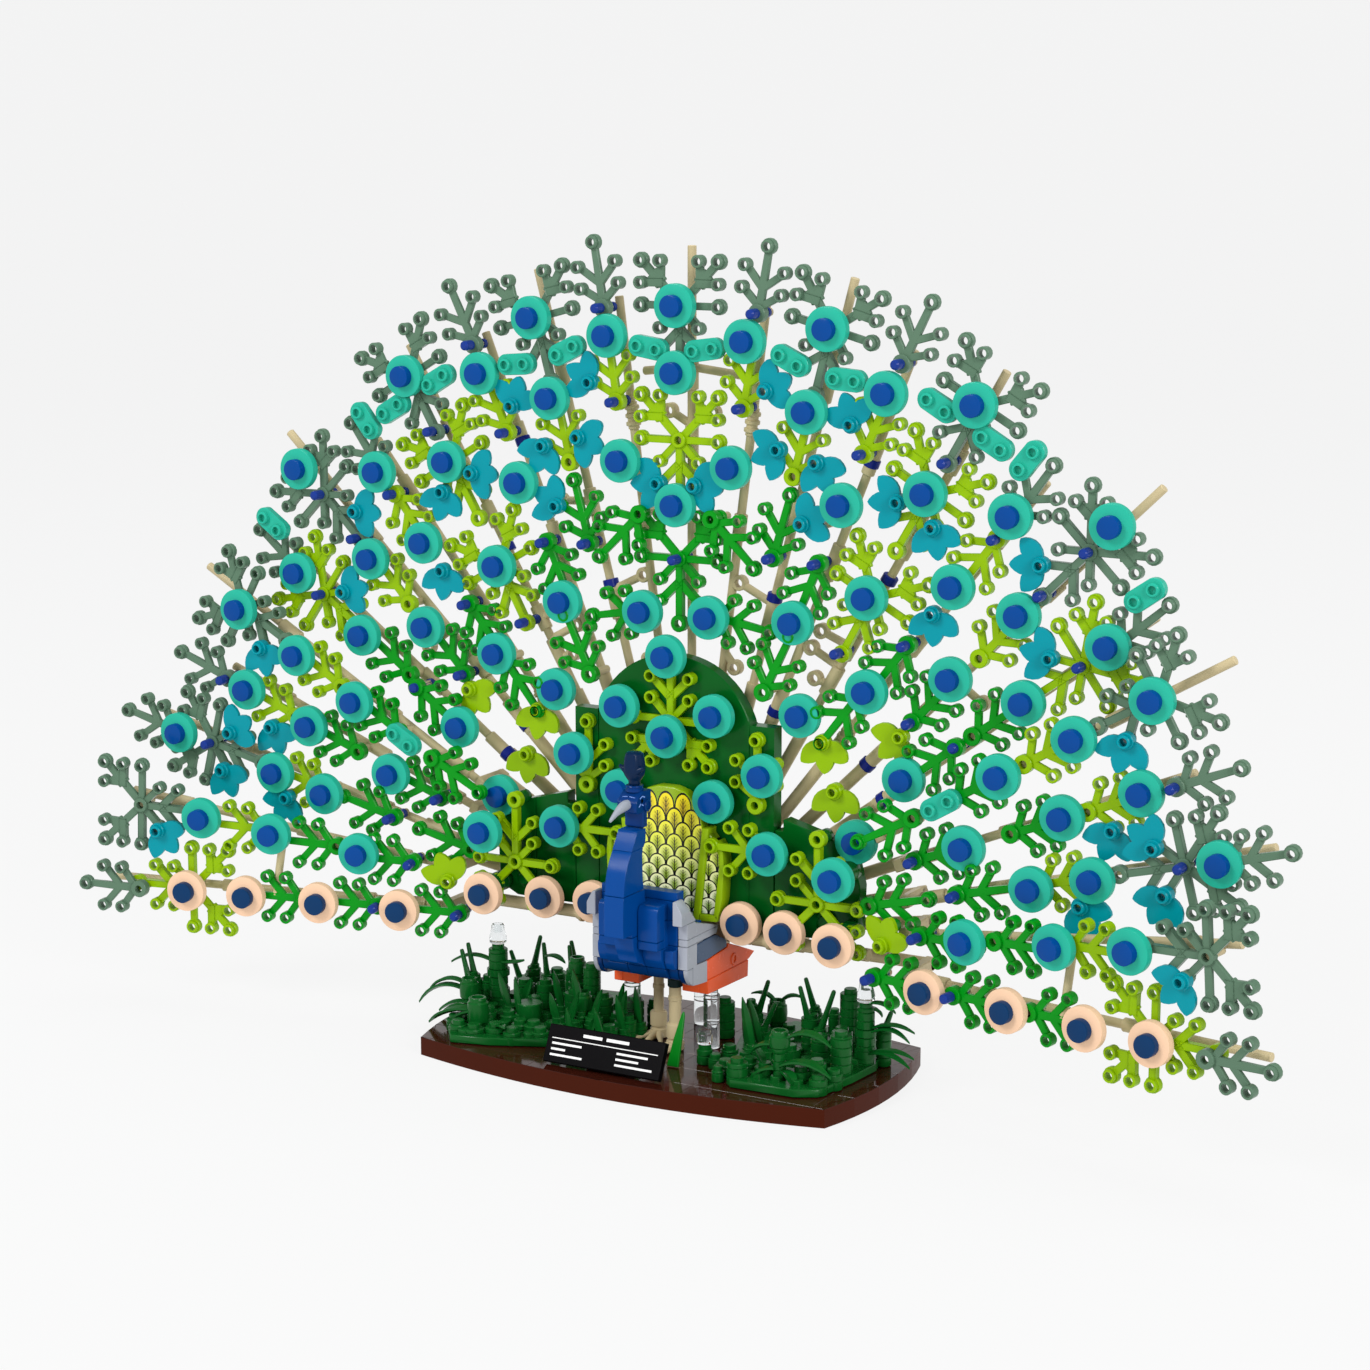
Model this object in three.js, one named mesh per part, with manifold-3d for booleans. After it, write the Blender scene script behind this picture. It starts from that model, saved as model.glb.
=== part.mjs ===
// Toy peacock built from plastic bricks, on its own brown display base.
// Millimetres, +Z up. The bird looks along -Y, and +X is on its left side.
// The origin is the middle of the base's underside.
import * as THREE from 'three';
import { mergeVertices } from 'three/addons/utils/BufferGeometryUtils.js';
import Module from 'manifold-3d';

const wasm = await Module();
wasm.setup();

// ---- Driving dimensions ----
const PITCH = 8;                 // distance between studs
const PLATE = 3.2;               // height of a thin plate
const GAP = 0.3;                 // clearance between touching pieces

const BASE_HEIGHT = 7;
const BASE_CORNER = [85, 40];    // half length and half depth at the corners
const BASE_BULGE = [6, 11];      // how far the ends and the long edges swell out

const HUB_HEIGHT = 47;           // where the rays of the fan meet
const RAY_STEP = 15;             // degrees between two long rays
const SHAFT_DEPTH = 17.3;        // shaft axis behind the front of the eyes
const SHAFT_RADIUS = 2.3;
const SHAFT_START = 27;          // inner ends of the long shafts
const SHORT_START = 40;          // and of the short ones
const STEP_RADIUS = 100;         // past here the low rays stand in front
const STEP_BLOCK = 3.2;          // length of the block that carries them
const LEAF_FRONT = 7.7;          // leaves behind the front of the eyes
const LEAF_THICK = 2;
const EYE_RADIUS = 8;
const EYE_FRONT = 3.1;
const EYE_SIDES = 6;

const PANEL_FRONT = 3;           // green panel behind the bird
const PANEL_BACK = 9;
const ARCH_HALF = 42;
const ARCH_TOP = 154;
const PANEL_BOTTOM = 56;
const BACK_FRONT = -2.3;         // printed plates behind the trunk

const BODY_HALF = 15.9;
const BODY_BOTTOM = 38.4;
const BODY_TOP = 71.7;
const BODY_FRONT = -22.2;
const BODY_REAR = -3.9;
const BELLY_HALF = 12;
const WING_OUT = 20;
const PRIMARIES_INNER = 9.2;
const PRIMARIES_BOTTOM = 30.2;
const NECK_HALF = 4;
const NECK_REAR = -24.9;
const BREAST_FRONT = -30.7;      // blocks on either side of the neck
const BREAST_BOTTOM = 51.3;
const BREAST_TOP = 67.7;
const CREST_PLACE = [0, -25.2];

// The long rays, from the vertical one outwards. eyes are the radii of the
// round eyes, star the middle of the big outer leaf, leaf the foot of a small
// leaf past it, tip the end of the shaft. turn is how far a ray stands off the
// even spacing, in degrees. forward and sweep bring the low rays towards the
// bird's front, in millimetres and degrees.
const LONG_RAYS = [
  { eyes: [162, 210, 234], star: 234, tip: 255 },
  { eyes: [205.5, 236], star: 235.4, tip: 253.7 },
  { eyes: [103, 154.7, 199, 235.5], star: 235.4, tip: 248 },
  { eyes: [154.3, 189.5, 236.3], star: 222.8, tip: 254.6, turn: 0.6 },
  { eyes: [156, 187.4, 219.2], star: 219.6, tip: 247, forward: 13.5, turn: -0.2 },
  { eyes: [153.9, 177.4, 224.6], star: 210.3, leaf: 226, tip: 240, forward: 13, sweep: 2.8, turn: -0.4 },
  { eyes: [110.4, 144.7, 176, 202], star: 201, flip: true, reach: 15, leaf: 222.8, tip: 240,
    forward: 18, sweep: 10.6 },
];

// The short rays stand about halfway between the long ones.
const SHORT_RAYS = [
  { eyes: [122.6, 178.4, 224.1], leaf: 234.3 },
  { eyes: [131.8, 179.4, 222.7], leaf: 234, turn: -0.3 },
  { eyes: [127, 178.8, 212.2], leaf: 211, turn: 0.6 },
  { eyes: [117.5, 172.5, 210.1], leaf: 211, forward: 2, turn: 0.9 },
  { eyes: [130.8, 171.2, 202.4], leaf: 213.7, forward: 8.5, sweep: 2.8, turn: -0.3 },
  { eyes: [128.8, 166, 196.2], star: 223.8, reach: 16.5, tip: 236, forward: 17, sweep: 11.9, turn: -1.6 },
];

// Eyes on the green panels: distance from the middle and height.
const ARCH_EYES = [[20, 132.5], [39.5, 113.5], [19.5, 102]];
const MIDDLE_EYES = [124.5, 154];
// Eyes that stand out on stems: distance from the middle, height and front face.
const SIDE_EYES = [[45.5, 86.5, -7.6], [75.5, 93, 0.4], [74, 82, -14.3]];
const ROW_EYES = [[31.5, 58, -4.2], [51, 58, -7.4], [74, 58, -14.2]];

const COLOURS = {
  brown: 0x4a1a10, black: 0x0b0b0c, plant: 0x0b5a2a, clear: 0xdfe8ea, tan: 0xb3a886,
  blue: 0x0b4fb0, navy: 0x0f2f6b, grey: 0xa3a8ad, slate: 0x41506a, orange: 0xe25a20,
  scale: 0xc8d428, olive: 0x9db21c, panel: 0x0a5a22, leaf: 0x0f9a2c,
};

// ---- Making and joining solids ----
function toSolid(geometry) {
  let plain = geometry.index ? geometry.toNonIndexed() : geometry.clone();
  plain.deleteAttribute('normal');
  plain.deleteAttribute('uv');
  plain = mergeVertices(plain, 1e-4);
  return new wasm.Manifold(new wasm.Mesh({
    numProp: 3,
    vertProperties: new Float32Array(plain.attributes.position.array),
    triVerts: new Uint32Array(plain.index.array),
  }));
}

function toGeometry(solid) {
  const mesh = solid.getMesh();
  const geometry = new THREE.BufferGeometry();
  geometry.setAttribute('position', new THREE.BufferAttribute(mesh.vertProperties, 3));
  geometry.setIndex(new THREE.BufferAttribute(mesh.triVerts, 1));
  return geometry;
}

// Joins overlapping pieces into one solid and drops the needless triangles.
function join(geometries) {
  const whole = geometries.map(toSolid).reduce((all, next) => all.add(next));
  return toGeometry(whole.asOriginal().simplify(0.05));
}

function outline(points) {
  return new THREE.Shape(points.map(([x, y]) => new THREE.Vector2(x, y)));
}

function extrude(points, depth) {
  return new THREE.ExtrudeGeometry(outline(points), { depth, bevelEnabled: false });
}

// A slab whose outline lies flat, between two heights.
function flatSlab(points, low, high) {
  return extrude(points, high - low).translate(0, 0, low);
}

// A slab whose outline is seen from the front, between two depths.
function frontSlab(points, front, back) {
  const turn = new THREE.Matrix4().makeBasis(
    new THREE.Vector3(1, 0, 0), new THREE.Vector3(0, 0, 1), new THREE.Vector3(0, -1, 0));
  return extrude(points, back - front).applyMatrix4(turn).translate(0, back, 0);
}

// A slab whose outline is seen from the side (depth, height), between two widths.
function sideSlab(points, left, right) {
  const turn = new THREE.Matrix4().makeBasis(
    new THREE.Vector3(0, 1, 0), new THREE.Vector3(0, 0, 1), new THREE.Vector3(1, 0, 0));
  return extrude(points, right - left).applyMatrix4(turn).translate(left, 0, 0);
}

function box(low, high) {
  const size = high.map((value, axis) => value - low[axis]);
  const middle = high.map((value, axis) => (value + low[axis]) / 2);
  return new THREE.BoxGeometry(...size).translate(...middle);
}

// An upright prism with flat sides, such as a round stem with few faces.
function post(x, y, low, high, radius, sides = 8, topRadius = radius) {
  return new THREE.CylinderGeometry(topRadius, radius, high - low, sides)
    .rotateX(Math.PI / 2).translate(x, y, (low + high) / 2);
}

// A round piece whose axis points to the front.
function frontDisc(x, z, front, back, radius, sides = EYE_SIDES) {
  return new THREE.CylinderGeometry(radius, radius, back - front, sides)
    .rotateY(Math.PI / sides).translate(x, (front + back) / 2, z);
}

function mirrored(points) {
  return [...points, ...points.map(([x, y]) => [-x, y]).reverse()];
}

function arc(centre, radius, from, to, steps) {
  return Array.from({ length: steps + 1 }, (_, i) => {
    const angle = THREE.MathUtils.degToRad(from + (to - from) * i / steps);
    return [centre[0] + radius * Math.cos(angle), centre[1] + radius * Math.sin(angle)];
  });
}

const group = new THREE.Group();

function addPart(name, geometry, colour, roughness = 0.25, extra = {}) {
  const material = new THREE.MeshStandardMaterial({ color: COLOURS[colour], roughness, ...extra });
  const mesh = new THREE.Mesh(geometry, material);
  mesh.name = name;
  group.add(mesh);
}

// ---- Display base: a slab with four bowed edges ----
function bowedEdge(from, to, bulge, steps) {
  return Array.from({ length: steps }, (_, i) => {
    const along = i / steps;
    const swell = 4 * bulge * along * (1 - along);
    const length = Math.hypot(to[0] - from[0], to[1] - from[1]);
    const out = [(to[1] - from[1]) / length, -(to[0] - from[0]) / length];
    return [0, 1].map((axis) => from[axis] + (to[axis] - from[axis]) * along + out[axis] * swell);
  });
}

const [cornerX, cornerY] = BASE_CORNER;
const [endBulge, edgeBulge] = BASE_BULGE;
const baseOutline = [
  ...bowedEdge([-cornerX, -cornerY], [cornerX, -cornerY], edgeBulge, 8),
  ...bowedEdge([cornerX, -cornerY], [cornerX, cornerY], endBulge, 5),
  ...bowedEdge([cornerX, cornerY], [-cornerX, cornerY], edgeBulge, 8),
  ...bowedEdge([-cornerX, cornerY], [-cornerX, -cornerY], endBulge, 5),
];
addPart('base_plate', flatSlab(baseOutline, 0, BASE_HEIGHT), 'brown');

// ---- Nameplate: a tile leaning back on a small black bracket ----
const PLATE_SIZE = [48.5, 3.2, 14];
const PLATE_LEAN = THREE.MathUtils.degToRad(25);
const PLATE_FOOT = [-3, -46, BASE_HEIGHT + 1.65];
addPart('nameplate', new THREE.BoxGeometry(...PLATE_SIZE)
  .translate(0, PLATE_SIZE[1] / 2, PLATE_SIZE[2] / 2)
  .rotateX(-PLATE_LEAN).translate(...PLATE_FOOT), 'black');
addPart('nameplate_bracket', sideSlab([
  [-42.4, BASE_HEIGHT + GAP], [-34, BASE_HEIGHT + GAP], [-34, 11], [-37.5, 17.8],
], PLATE_FOOT[0] - PITCH, PLATE_FOOT[0] + PITCH), 'black');

// ---- Plants: a low carpet with stems, blades and one lamp stem a side ----
const STEMS = [
  [33, -20, 16], [40, 20, 19], [58, -22, 25], [66, 18, 23], [72, -10, 18],
];
const BLADES = [
  [38, -4, 30, 4], [50, 10, 34, -5], [54, -3, 35, 6], [70, 30, 27, 4],
];
const LAMP_PLACE = [79, 5];
const LAMP_STEM_TOP = 33;
const carpet = [[20, -34], [62, -38], [82, -26], [86, 8], [76, 34], [34, 40], [22, 18]];

function blade(x, y, height, lean) {
  const foot = BASE_HEIGHT + PLATE - 0.5;
  return sideSlab([[y - 1.6, foot], [y + 1.6, foot], [y + lean + 0.5, height], [y + lean - 0.5, height]],
    x - 0.8, x + 0.8);
}

// Drooping leaves round a stem, as a flat four-armed slab that thins outwards.
function whorl(x, y, z, reach) {
  const points = Array.from({ length: 8 }, (_, i) => {
    const radius = i % 2 ? 2.6 : reach;
    const angle = i * Math.PI / 4 + 0.4;
    return [x + radius * Math.cos(angle), y + radius * Math.sin(angle)];
  });
  return flatSlab(points, z, z + 1.6);
}

function plantClump(side) {
  const place = (x) => side * x;
  const ground = BASE_HEIGHT + GAP;
  const plate = side > 0 ? carpet : carpet.map(([x, y]) => [-x, y]).reverse();
  const pieces = [flatSlab(plate, ground, BASE_HEIGHT + PLATE)];
  for (const [x, y, top] of STEMS) {
    pieces.push(post(place(x), y, ground, top, 3.6, 6));
  }
  for (const [x, y, top, lean] of BLADES) {
    pieces.push(blade(place(x), y, top, lean));
  }
  pieces.push(post(place(LAMP_PLACE[0]), LAMP_PLACE[1], ground, LAMP_STEM_TOP, 4, 8));
  pieces.push(whorl(place(LAMP_PLACE[0]), LAMP_PLACE[1], 22, 13));
  pieces.push(whorl(place(58), -22, 17, 13));
  return join(pieces);
}

for (const [name, side] of [['left', 1], ['right', -1]]) {
  addPart(`plants_${name}`, plantClump(side), 'plant');
  addPart(`lamp_${name}`, post(side * LAMP_PLACE[0], LAMP_PLACE[1],
    LAMP_STEM_TOP + GAP, LAMP_STEM_TOP + 8, 3.2, 8, 2.4), 'clear', 0.05, { opacity: 0.4, transparent: true });
}

// ---- Legs with three toes in front and one behind, and clear props ----
function leg(x, y) {
  const ground = BASE_HEIGHT + GAP;
  const toes = [-0.6, 0, 0.6].map((turn) =>
    box([-1.6, -12, ground], [1.6, 0, ground + PLATE]).rotateZ(turn).translate(x, y, 0));
  return join([
    ...toes,
    box([x - 1.6, y, ground], [x + 1.6, y + 6, ground + PLATE]),
    post(x, y, ground, ground + PITCH, 3.3),
    post(x, y, ground, BODY_BOTTOM - GAP, 2.3),
  ]);
}
addPart('leg_left', leg(6.5, -7), 'tan');
addPart('leg_right', leg(-6.5, 3.5), 'tan');
const PROPS = [['prop_left', 17, 2], ['prop_right', -17, 2]];
for (const [name, x, y] of PROPS) {
  addPart(name, post(x, y, BASE_HEIGHT + GAP, PRIMARIES_BOTTOM - 2 * GAP, 3.2), 'clear', 0.05, { opacity: 0.4, transparent: true });
}
addPart('prop_rear', post(0, 27, BASE_HEIGHT + GAP, 34 - GAP, 4), 'clear', 0.05, { opacity: 0.4, transparent: true });

// ---- Trunk: a tall front slab, a low rear, and a belly that curves under ----
addPart('trunk', join([
  sideSlab([
    [BODY_FRONT, 43.2], [-19.8, BODY_BOTTOM], [BODY_REAR, BODY_BOTTOM], [BODY_REAR, 57.6], [-12, 57.6],
    [-17.2, 68.4], [-17.2, BODY_TOP], [BODY_FRONT, BODY_TOP],
  ], -BODY_HALF, BODY_HALF),
  sideSlab([
    [-27.2, 48.2], [-25.6, 44.8], [-24.3, 43.1], [-20.2, BODY_BOTTOM], [BACK_FRONT - GAP, BODY_BOTTOM],
    [BACK_FRONT - GAP, 57], [-20, 57], [-20, BREAST_TOP], [NECK_REAR + GAP, BREAST_TOP],
    [NECK_REAR + GAP, BREAST_BOTTOM - GAP], [-27.2, BREAST_BOTTOM - GAP],
  ], -BELLY_HALF, BELLY_HALF),
  sideSlab([
    [-33.8, 56], [-33.6, 53.5], [-31.4, 48.6], [-30.2, 45.9], [-24, 45.6], [-24, 56],
  ], -NECK_HALF, NECK_HALF),
]), 'blue');

const breastProfile = [
  [BREAST_FRONT, BREAST_BOTTOM], [NECK_REAR, BREAST_BOTTOM], [NECK_REAR, BREAST_TOP],
  [BREAST_FRONT + 1, BREAST_TOP], [BREAST_FRONT, BREAST_TOP - 1],
];
for (const [name, side] of [['breast_left', 1], ['breast_right', -1]]) {
  const inner = side * (NECK_HALF + GAP);
  const outer = side * (NECK_HALF + GAP + PITCH);
  addPart(name, sideSlab(breastProfile, Math.min(inner, outer), Math.max(inner, outer)), 'blue');
}

// ---- Neck, head, beak and crest ----
addPart('neck', sideSlab([
  [-34.1, 56.3], [NECK_REAR, 56.3], [NECK_REAR, 72], [-25.8, 74], [-26.3, 87], [-24.4, 90.5], [-24.2, 95],
  [-30, 95], [-34.2, 88.5], [-38.8, 80.5], [-40.3, 71], [-40.6, 64], [-40.5, 57.5], [-34.1, 57.5],
], -NECK_HALF, NECK_HALF), 'blue');
addPart('head', join([
  sideSlab([
    [-25.8, 95.3], [-22.6, 95.3], [-22.6, 101.4], [-20.2, 101.8], [-20.2, 109.2], [-26.5, 109.2],
    [-30.9, 105.6], [-30.9, 102.2], [-29.5, 101], [-25.8, 101],
  ], -NECK_HALF, NECK_HALF),
  post(...CREST_PLACE, 108.5, 110.9, 3.3),
]), 'navy');
addPart('beak', sideSlab([
  [-42.4, 100.4], [-31.2, 102.2], [-31.2, 106.3], [-37, 104.9], [-42.8, 101.3],
], -1.5, 1.5), 'grey');
const crestProfile = [[0, 0], [2.2, 0], [4, 4], [4.1, 7], [3.6, 11], [2, 12.1], [0, 12.1]];
addPart('crest', new THREE.LatheGeometry(crestProfile.map(([r, z]) => new THREE.Vector2(r, z)), 8)
  .rotateX(Math.PI / 2).translate(...CREST_PLACE, 111.2), 'navy');

// ---- Wings: light grey shoulder, slate panel and orange flight feathers ----
const shoulder = [
  [-26.2, 60.5], [-22, 60.5], [-22, 42.6], [-21, 39.6], [-18.3, 36.6], [-13, 35.8], [-6.9, 35.3],
  [-6.9, 43.3], [-14.6, 43.6], [-14.6, 51.6], [0.2, 52], [1.8, 54.9], [-15.7, 59.8], [-20.7, 69.6],
  [-24.8, 69.4], [-26.2, 68.4],
];
const wingPanel = [[-14.3, 43.9], [-6.9, 43.6], [8.2, 44.9], [8, 47.7], [-0.1, 51.6], [-14.3, 51.2]];
const primaries = [
  [-6.5, PRIMARIES_BOTTOM], [25, 29.1], [25.4, 35.6], [30.4, 37.7], [18.5, 42.5], [9.4, 45.9],
  [8.6, 44.5], [-6.5, 43.2],
];
for (const [name, side] of [['left', 1], ['right', -1]]) {
  const inner = side * (BODY_HALF + GAP);
  const outer = side * WING_OUT;
  const span = [Math.min(inner, outer), Math.max(inner, outer)];
  addPart(`wing_${name}_shoulder`, sideSlab(shoulder, ...span), 'grey');
  addPart(`wing_${name}_panel`, sideSlab(wingPanel, ...span), 'slate');
  // The orange block reaches inwards below the trunk.
  const under = [side * PRIMARIES_INNER, side * (BODY_HALF + 2 * GAP)];
  addPart(`wing_${name}_primaries`, join([
    sideSlab(primaries, ...span),
    box([Math.min(...under), -6.5, PRIMARIES_BOTTOM], [Math.max(...under), 24.5, BODY_BOTTOM - GAP]),
  ]), 'orange');
}

// ---- Back: plates printed with scales, in an olive frame on each side ----
const BACK_REAR = PANEL_FRONT - GAP;
addPart('back_scales', join([
  frontSlab(mirrored([[15.4, 57], [15.4, 90], [11.2, 94], [10.8, 104], [7, 108]]), BACK_FRONT, BACK_REAR),
]), 'scale');
for (const [name, side] of [['left', 1], ['right', -1]]) {
  const framePoints = [
    [15.7, 57], [22.6, 57], [22.8, 65.5], [25, 70], [25, 83], [22, 88], [17.5, 92], [15.7, 92],
  ].map(([x, z]) => [side * x, z]);
  addPart(`back_frame_${name}`,
    frontSlab(side > 0 ? framePoints : [...framePoints].reverse(), BACK_FRONT - 1.2, BACK_REAR), 'olive');
}

// ---- Green panels with the eyes that they carry ----
const archOutline = mirrored([
  [ARCH_HALF, PANEL_BOTTOM], [ARCH_HALF, 132],
  ...arc([0, ARCH_TOP - 34], 34, 25, 80, 4),
]);
function panelEye(x, z) {
  return frontDisc(x, z, -3.8, PANEL_FRONT + 0.4, EYE_RADIUS);
}
// An eye that stands in front of its carrier on a square stem.
function stemEye(x, z, front, back) {
  const disc = frontDisc(x, z, front, front + PLATE, EYE_RADIUS);
  return [disc, box([x - 1.8, front + 1, z - 1.8], [x + 1.8, back, z + 1.8])];
}
const archEyes = ARCH_EYES.flatMap(([x, z]) => [panelEye(x, z), panelEye(-x, z)]);
addPart('panel_arch', join([
  frontSlab(archOutline, PANEL_FRONT, PANEL_BACK),
  ...archEyes,
  ...MIDDLE_EYES.map((z) => panelEye(0, z)),
]), 'panel');

const sidePanel = [
  [ARCH_HALF + GAP, 58], [68, 60], [76, 76], [73, 88.5], [48, 97], [ARCH_HALF + GAP, 97],
];
for (const [name, side] of [['left', 1], ['right', -1]]) {
  const points = sidePanel.map(([x, z]) => [side * x, z]);
  addPart(`panel_${name}`, join([
    frontSlab(side > 0 ? points : [...points].reverse(), PANEL_FRONT, PANEL_BACK),
    ...SIDE_EYES.flatMap(([x, z, front]) => stemEye(side * x, z, front, PANEL_FRONT + 2)),
  ]), 'panel');
}

// ---- Hub: a half-round plate behind the panels that carries the rays ----
const HUB_RADIUS = 46;
const HUB_FRONT = SHAFT_DEPTH + SHAFT_RADIUS + GAP;
addPart('fan_hub', join([
  frontSlab([...arc([0, HUB_HEIGHT], HUB_RADIUS, 0, 180, 10), [-HUB_RADIUS, 43], [HUB_RADIUS, 43]],
    HUB_FRONT, HUB_FRONT + 5),
  box([-PITCH, HUB_FRONT, 34], [PITCH, 33, 64]),
]), 'tan');

// ---- Rays of the fan ----
// Half of an outline, as [half width, radius] from the inside out. A leaf
// keeps within its share of the circle, so that neighbours don't touch.
function shareWidth(radius, wanted) {
  const room = radius * Math.tan(THREE.MathUtils.degToRad(RAY_STEP / 4)) - GAP;
  return Math.min(wanted, room);
}

function starOutline(middle, reach) {
  const inner = PITCH * 1.3;
  return [
    [2.2, middle - 22], [shareWidth(middle - 18, inner), middle - 17],
    [shareWidth(middle - 8, inner), middle - 6],
    [5, middle - 4], [reach, middle - 2.4], [reach, middle + 2.4],
    [reach, middle + PITCH - 1.5], [reach, middle + 2 * PITCH + 2.3],
    [PITCH - 2, middle + 2 * PITCH + 2.3], [2.2, middle + 5],
  ];
}

// The same leaf with its stem outwards.
function flipped(corners, middle) {
  return corners.slice(0, -1).map(([half, radius]) => [half, 2 * middle - radius]).reverse();
}

function leafOutline(foot) {
  const reach = PITCH * 1.3;
  return [
    [2.6, foot - 2], [shareWidth(foot + 9, reach), foot + 9], [4, foot + 11],
    [reach, foot + 16], [reach, foot + 18], [2.6, foot + 26.5],
  ];
}

// A plain long leaf under each inner eye.
function spindleOutline(middle) {
  return [[2.2, middle - 13], [shareWidth(middle, PITCH * 1.3), middle + 1], [2.2, middle + 13]];
}

function rayParts(ray) {
  const { eyes, star, flip, leaf, tip, reach = 2 * PITCH + 2.3 } = ray;
  const outlineHalf = [[2.2, eyes[0] - 12]];
  const last = star ?? leaf;
  for (const eye of eyes) {
    if (eye + 13 < last - (star ? 22 : 2)) {
      outlineHalf.push(...spindleOutline(eye).filter(([, radius]) => radius > outlineHalf.at(-1)[1] + 1));
    }
  }
  if (star) {
    const corners = flip ? flipped(starOutline(star, reach), star) : starOutline(star, reach);
    outlineHalf.push(...corners.filter(([, radius], i) => i > 2 || radius > outlineHalf.at(-1)[1] + 1));
  }
  if (leaf) {
    outlineHalf.push(...leafOutline(Math.max(leaf, star ? star + 9 : 0))
      .filter(([, radius]) => radius > outlineHalf.at(-1)[1] + 0.5 || !star));
  }
  const end = tip ?? leaf + 6;
  const parts = [frontSlab(mirrored(outlineHalf), LEAF_FRONT, LEAF_FRONT + LEAF_THICK)];
  for (const eye of eyes) {
    parts.push(frontDisc(0, eye, EYE_FRONT, LEAF_FRONT + 0.3, EYE_RADIUS));
  }
  const pin = last - 10;
  parts.push(box([-1.6, LEAF_FRONT + 1, pin - 1.6], [1.6, SHAFT_DEPTH, pin + 1.6]));
  return { parts, end };
}

function rod(from, to, depth) {
  return post(0, depth, from, to, SHAFT_RADIUS, 5);
}

function placeRay(geometry, angle) {
  return geometry.rotateY(THREE.MathUtils.degToRad(angle)).translate(0, 0, HUB_HEIGHT);
}

function addRay(name, ray, angle, start) {
  const { forward = 0, sweep = 0 } = ray;
  const { parts, end } = rayParts(ray);
  const stepped = forward > 4;
  const lean = THREE.MathUtils.degToRad(sweep);
  const blockStart = STEP_RADIUS - STEP_BLOCK;
  parts.push(rod(stepped ? blockStart - SHAFT_DEPTH * Math.sin(lean) : start, end, SHAFT_DEPTH));
  for (const part of parts) {
    part.translate(0, 0, -STEP_RADIUS).rotateX(lean).translate(0, -forward, STEP_RADIUS);
  }
  if (stepped) {
    parts.push(rod(start, STEP_RADIUS, SHAFT_DEPTH));
    parts.push(box([-SHAFT_RADIUS, SHAFT_DEPTH - forward, blockStart],
      [SHAFT_RADIUS, SHAFT_DEPTH + 1, STEP_RADIUS]));
  }
  addPart(name, placeRay(join(parts), angle), 'leaf');
}

LONG_RAYS.forEach((ray, i) => {
  const angle = i * RAY_STEP + (ray.turn ?? 0);
  addRay(`ray_long_left_${i}`, ray, angle, SHAFT_START);
  if (i > 0) addRay(`ray_long_right_${i}`, ray, -angle, SHAFT_START);
});
SHORT_RAYS.forEach((ray, i) => {
  const angle = (i + 0.5) * RAY_STEP + (ray.turn ?? 0);
  addRay(`ray_short_left_${i + 1}`, ray, angle, SHORT_START);
  addRay(`ray_short_right_${i + 1}`, ray, -angle, SHORT_START);
});

// ---- Row of pale eyes on a bar beside the bird ----
for (const [name, side] of [['left', 1], ['right', -1]]) {
  const [first, last] = [ROW_EYES[0][0], ROW_EYES.at(-1)[0]].map((x) => side * x);
  addPart(`row_${name}`, join([
    box([Math.min(first, last) - 2, -1, 56], [Math.max(first, last) + 2, 2.6, 60]),
    ...ROW_EYES.flatMap(([x, z, front]) => stemEye(side * x, z, front, 1)),
  ]), 'tan');
}

export default group;
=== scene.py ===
import math

import bmesh
import bpy
from mathutils import Matrix, Vector


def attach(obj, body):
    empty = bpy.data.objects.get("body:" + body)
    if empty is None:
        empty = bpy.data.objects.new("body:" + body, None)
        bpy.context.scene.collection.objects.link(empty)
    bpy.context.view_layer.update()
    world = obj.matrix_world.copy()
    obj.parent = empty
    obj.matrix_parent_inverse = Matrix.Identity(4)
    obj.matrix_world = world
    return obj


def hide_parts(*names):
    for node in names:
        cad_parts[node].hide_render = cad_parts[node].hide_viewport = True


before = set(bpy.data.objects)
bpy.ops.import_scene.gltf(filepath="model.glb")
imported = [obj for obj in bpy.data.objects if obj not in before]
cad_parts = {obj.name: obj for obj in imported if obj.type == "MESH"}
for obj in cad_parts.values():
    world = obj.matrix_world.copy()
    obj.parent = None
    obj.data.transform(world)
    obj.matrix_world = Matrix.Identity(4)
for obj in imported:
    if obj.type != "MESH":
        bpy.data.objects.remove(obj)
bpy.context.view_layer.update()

# ---- Camera, light and floor ----
# The toy stands on a seamless pale table top that curves up far behind it, under
# large soft lamps, and is seen from its front left, above the middle of the fan.
scene = bpy.context.scene
scene.view_settings.view_transform = "Standard"
CAMERA_PLACE = (0.5239, -0.9238, 0.3480)
CAMERA_DOWN = 10.91
CAMERA_ROUND = 29.24
CAMERA_LENS = 77.65
camera_data = bpy.data.cameras.new("camera")
camera_data.lens = CAMERA_LENS
camera_data.sensor_width = 36
camera_data.clip_end = 20
camera = bpy.data.objects.new("camera", camera_data)
camera.location = CAMERA_PLACE
camera.rotation_euler = (math.radians(90 - CAMERA_DOWN), 0, math.radians(CAMERA_ROUND))
scene.collection.objects.link(camera)
scene.camera = camera


FAN_MIDDLE = Vector((0, 0, 0.13))


def soft_lamp(name, place, size, watts):
    """A square lamp that looks at the middle of the fan."""
    lamp_data = bpy.data.lights.new(name, "AREA")
    lamp_data.size = size
    lamp_data.energy = watts
    lamp = bpy.data.objects.new(name, lamp_data)
    lamp.location = place
    lamp.rotation_euler = (FAN_MIDDLE - Vector(place)).to_track_quat("-Z", "Y").to_euler()
    scene.collection.objects.link(lamp)


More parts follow.
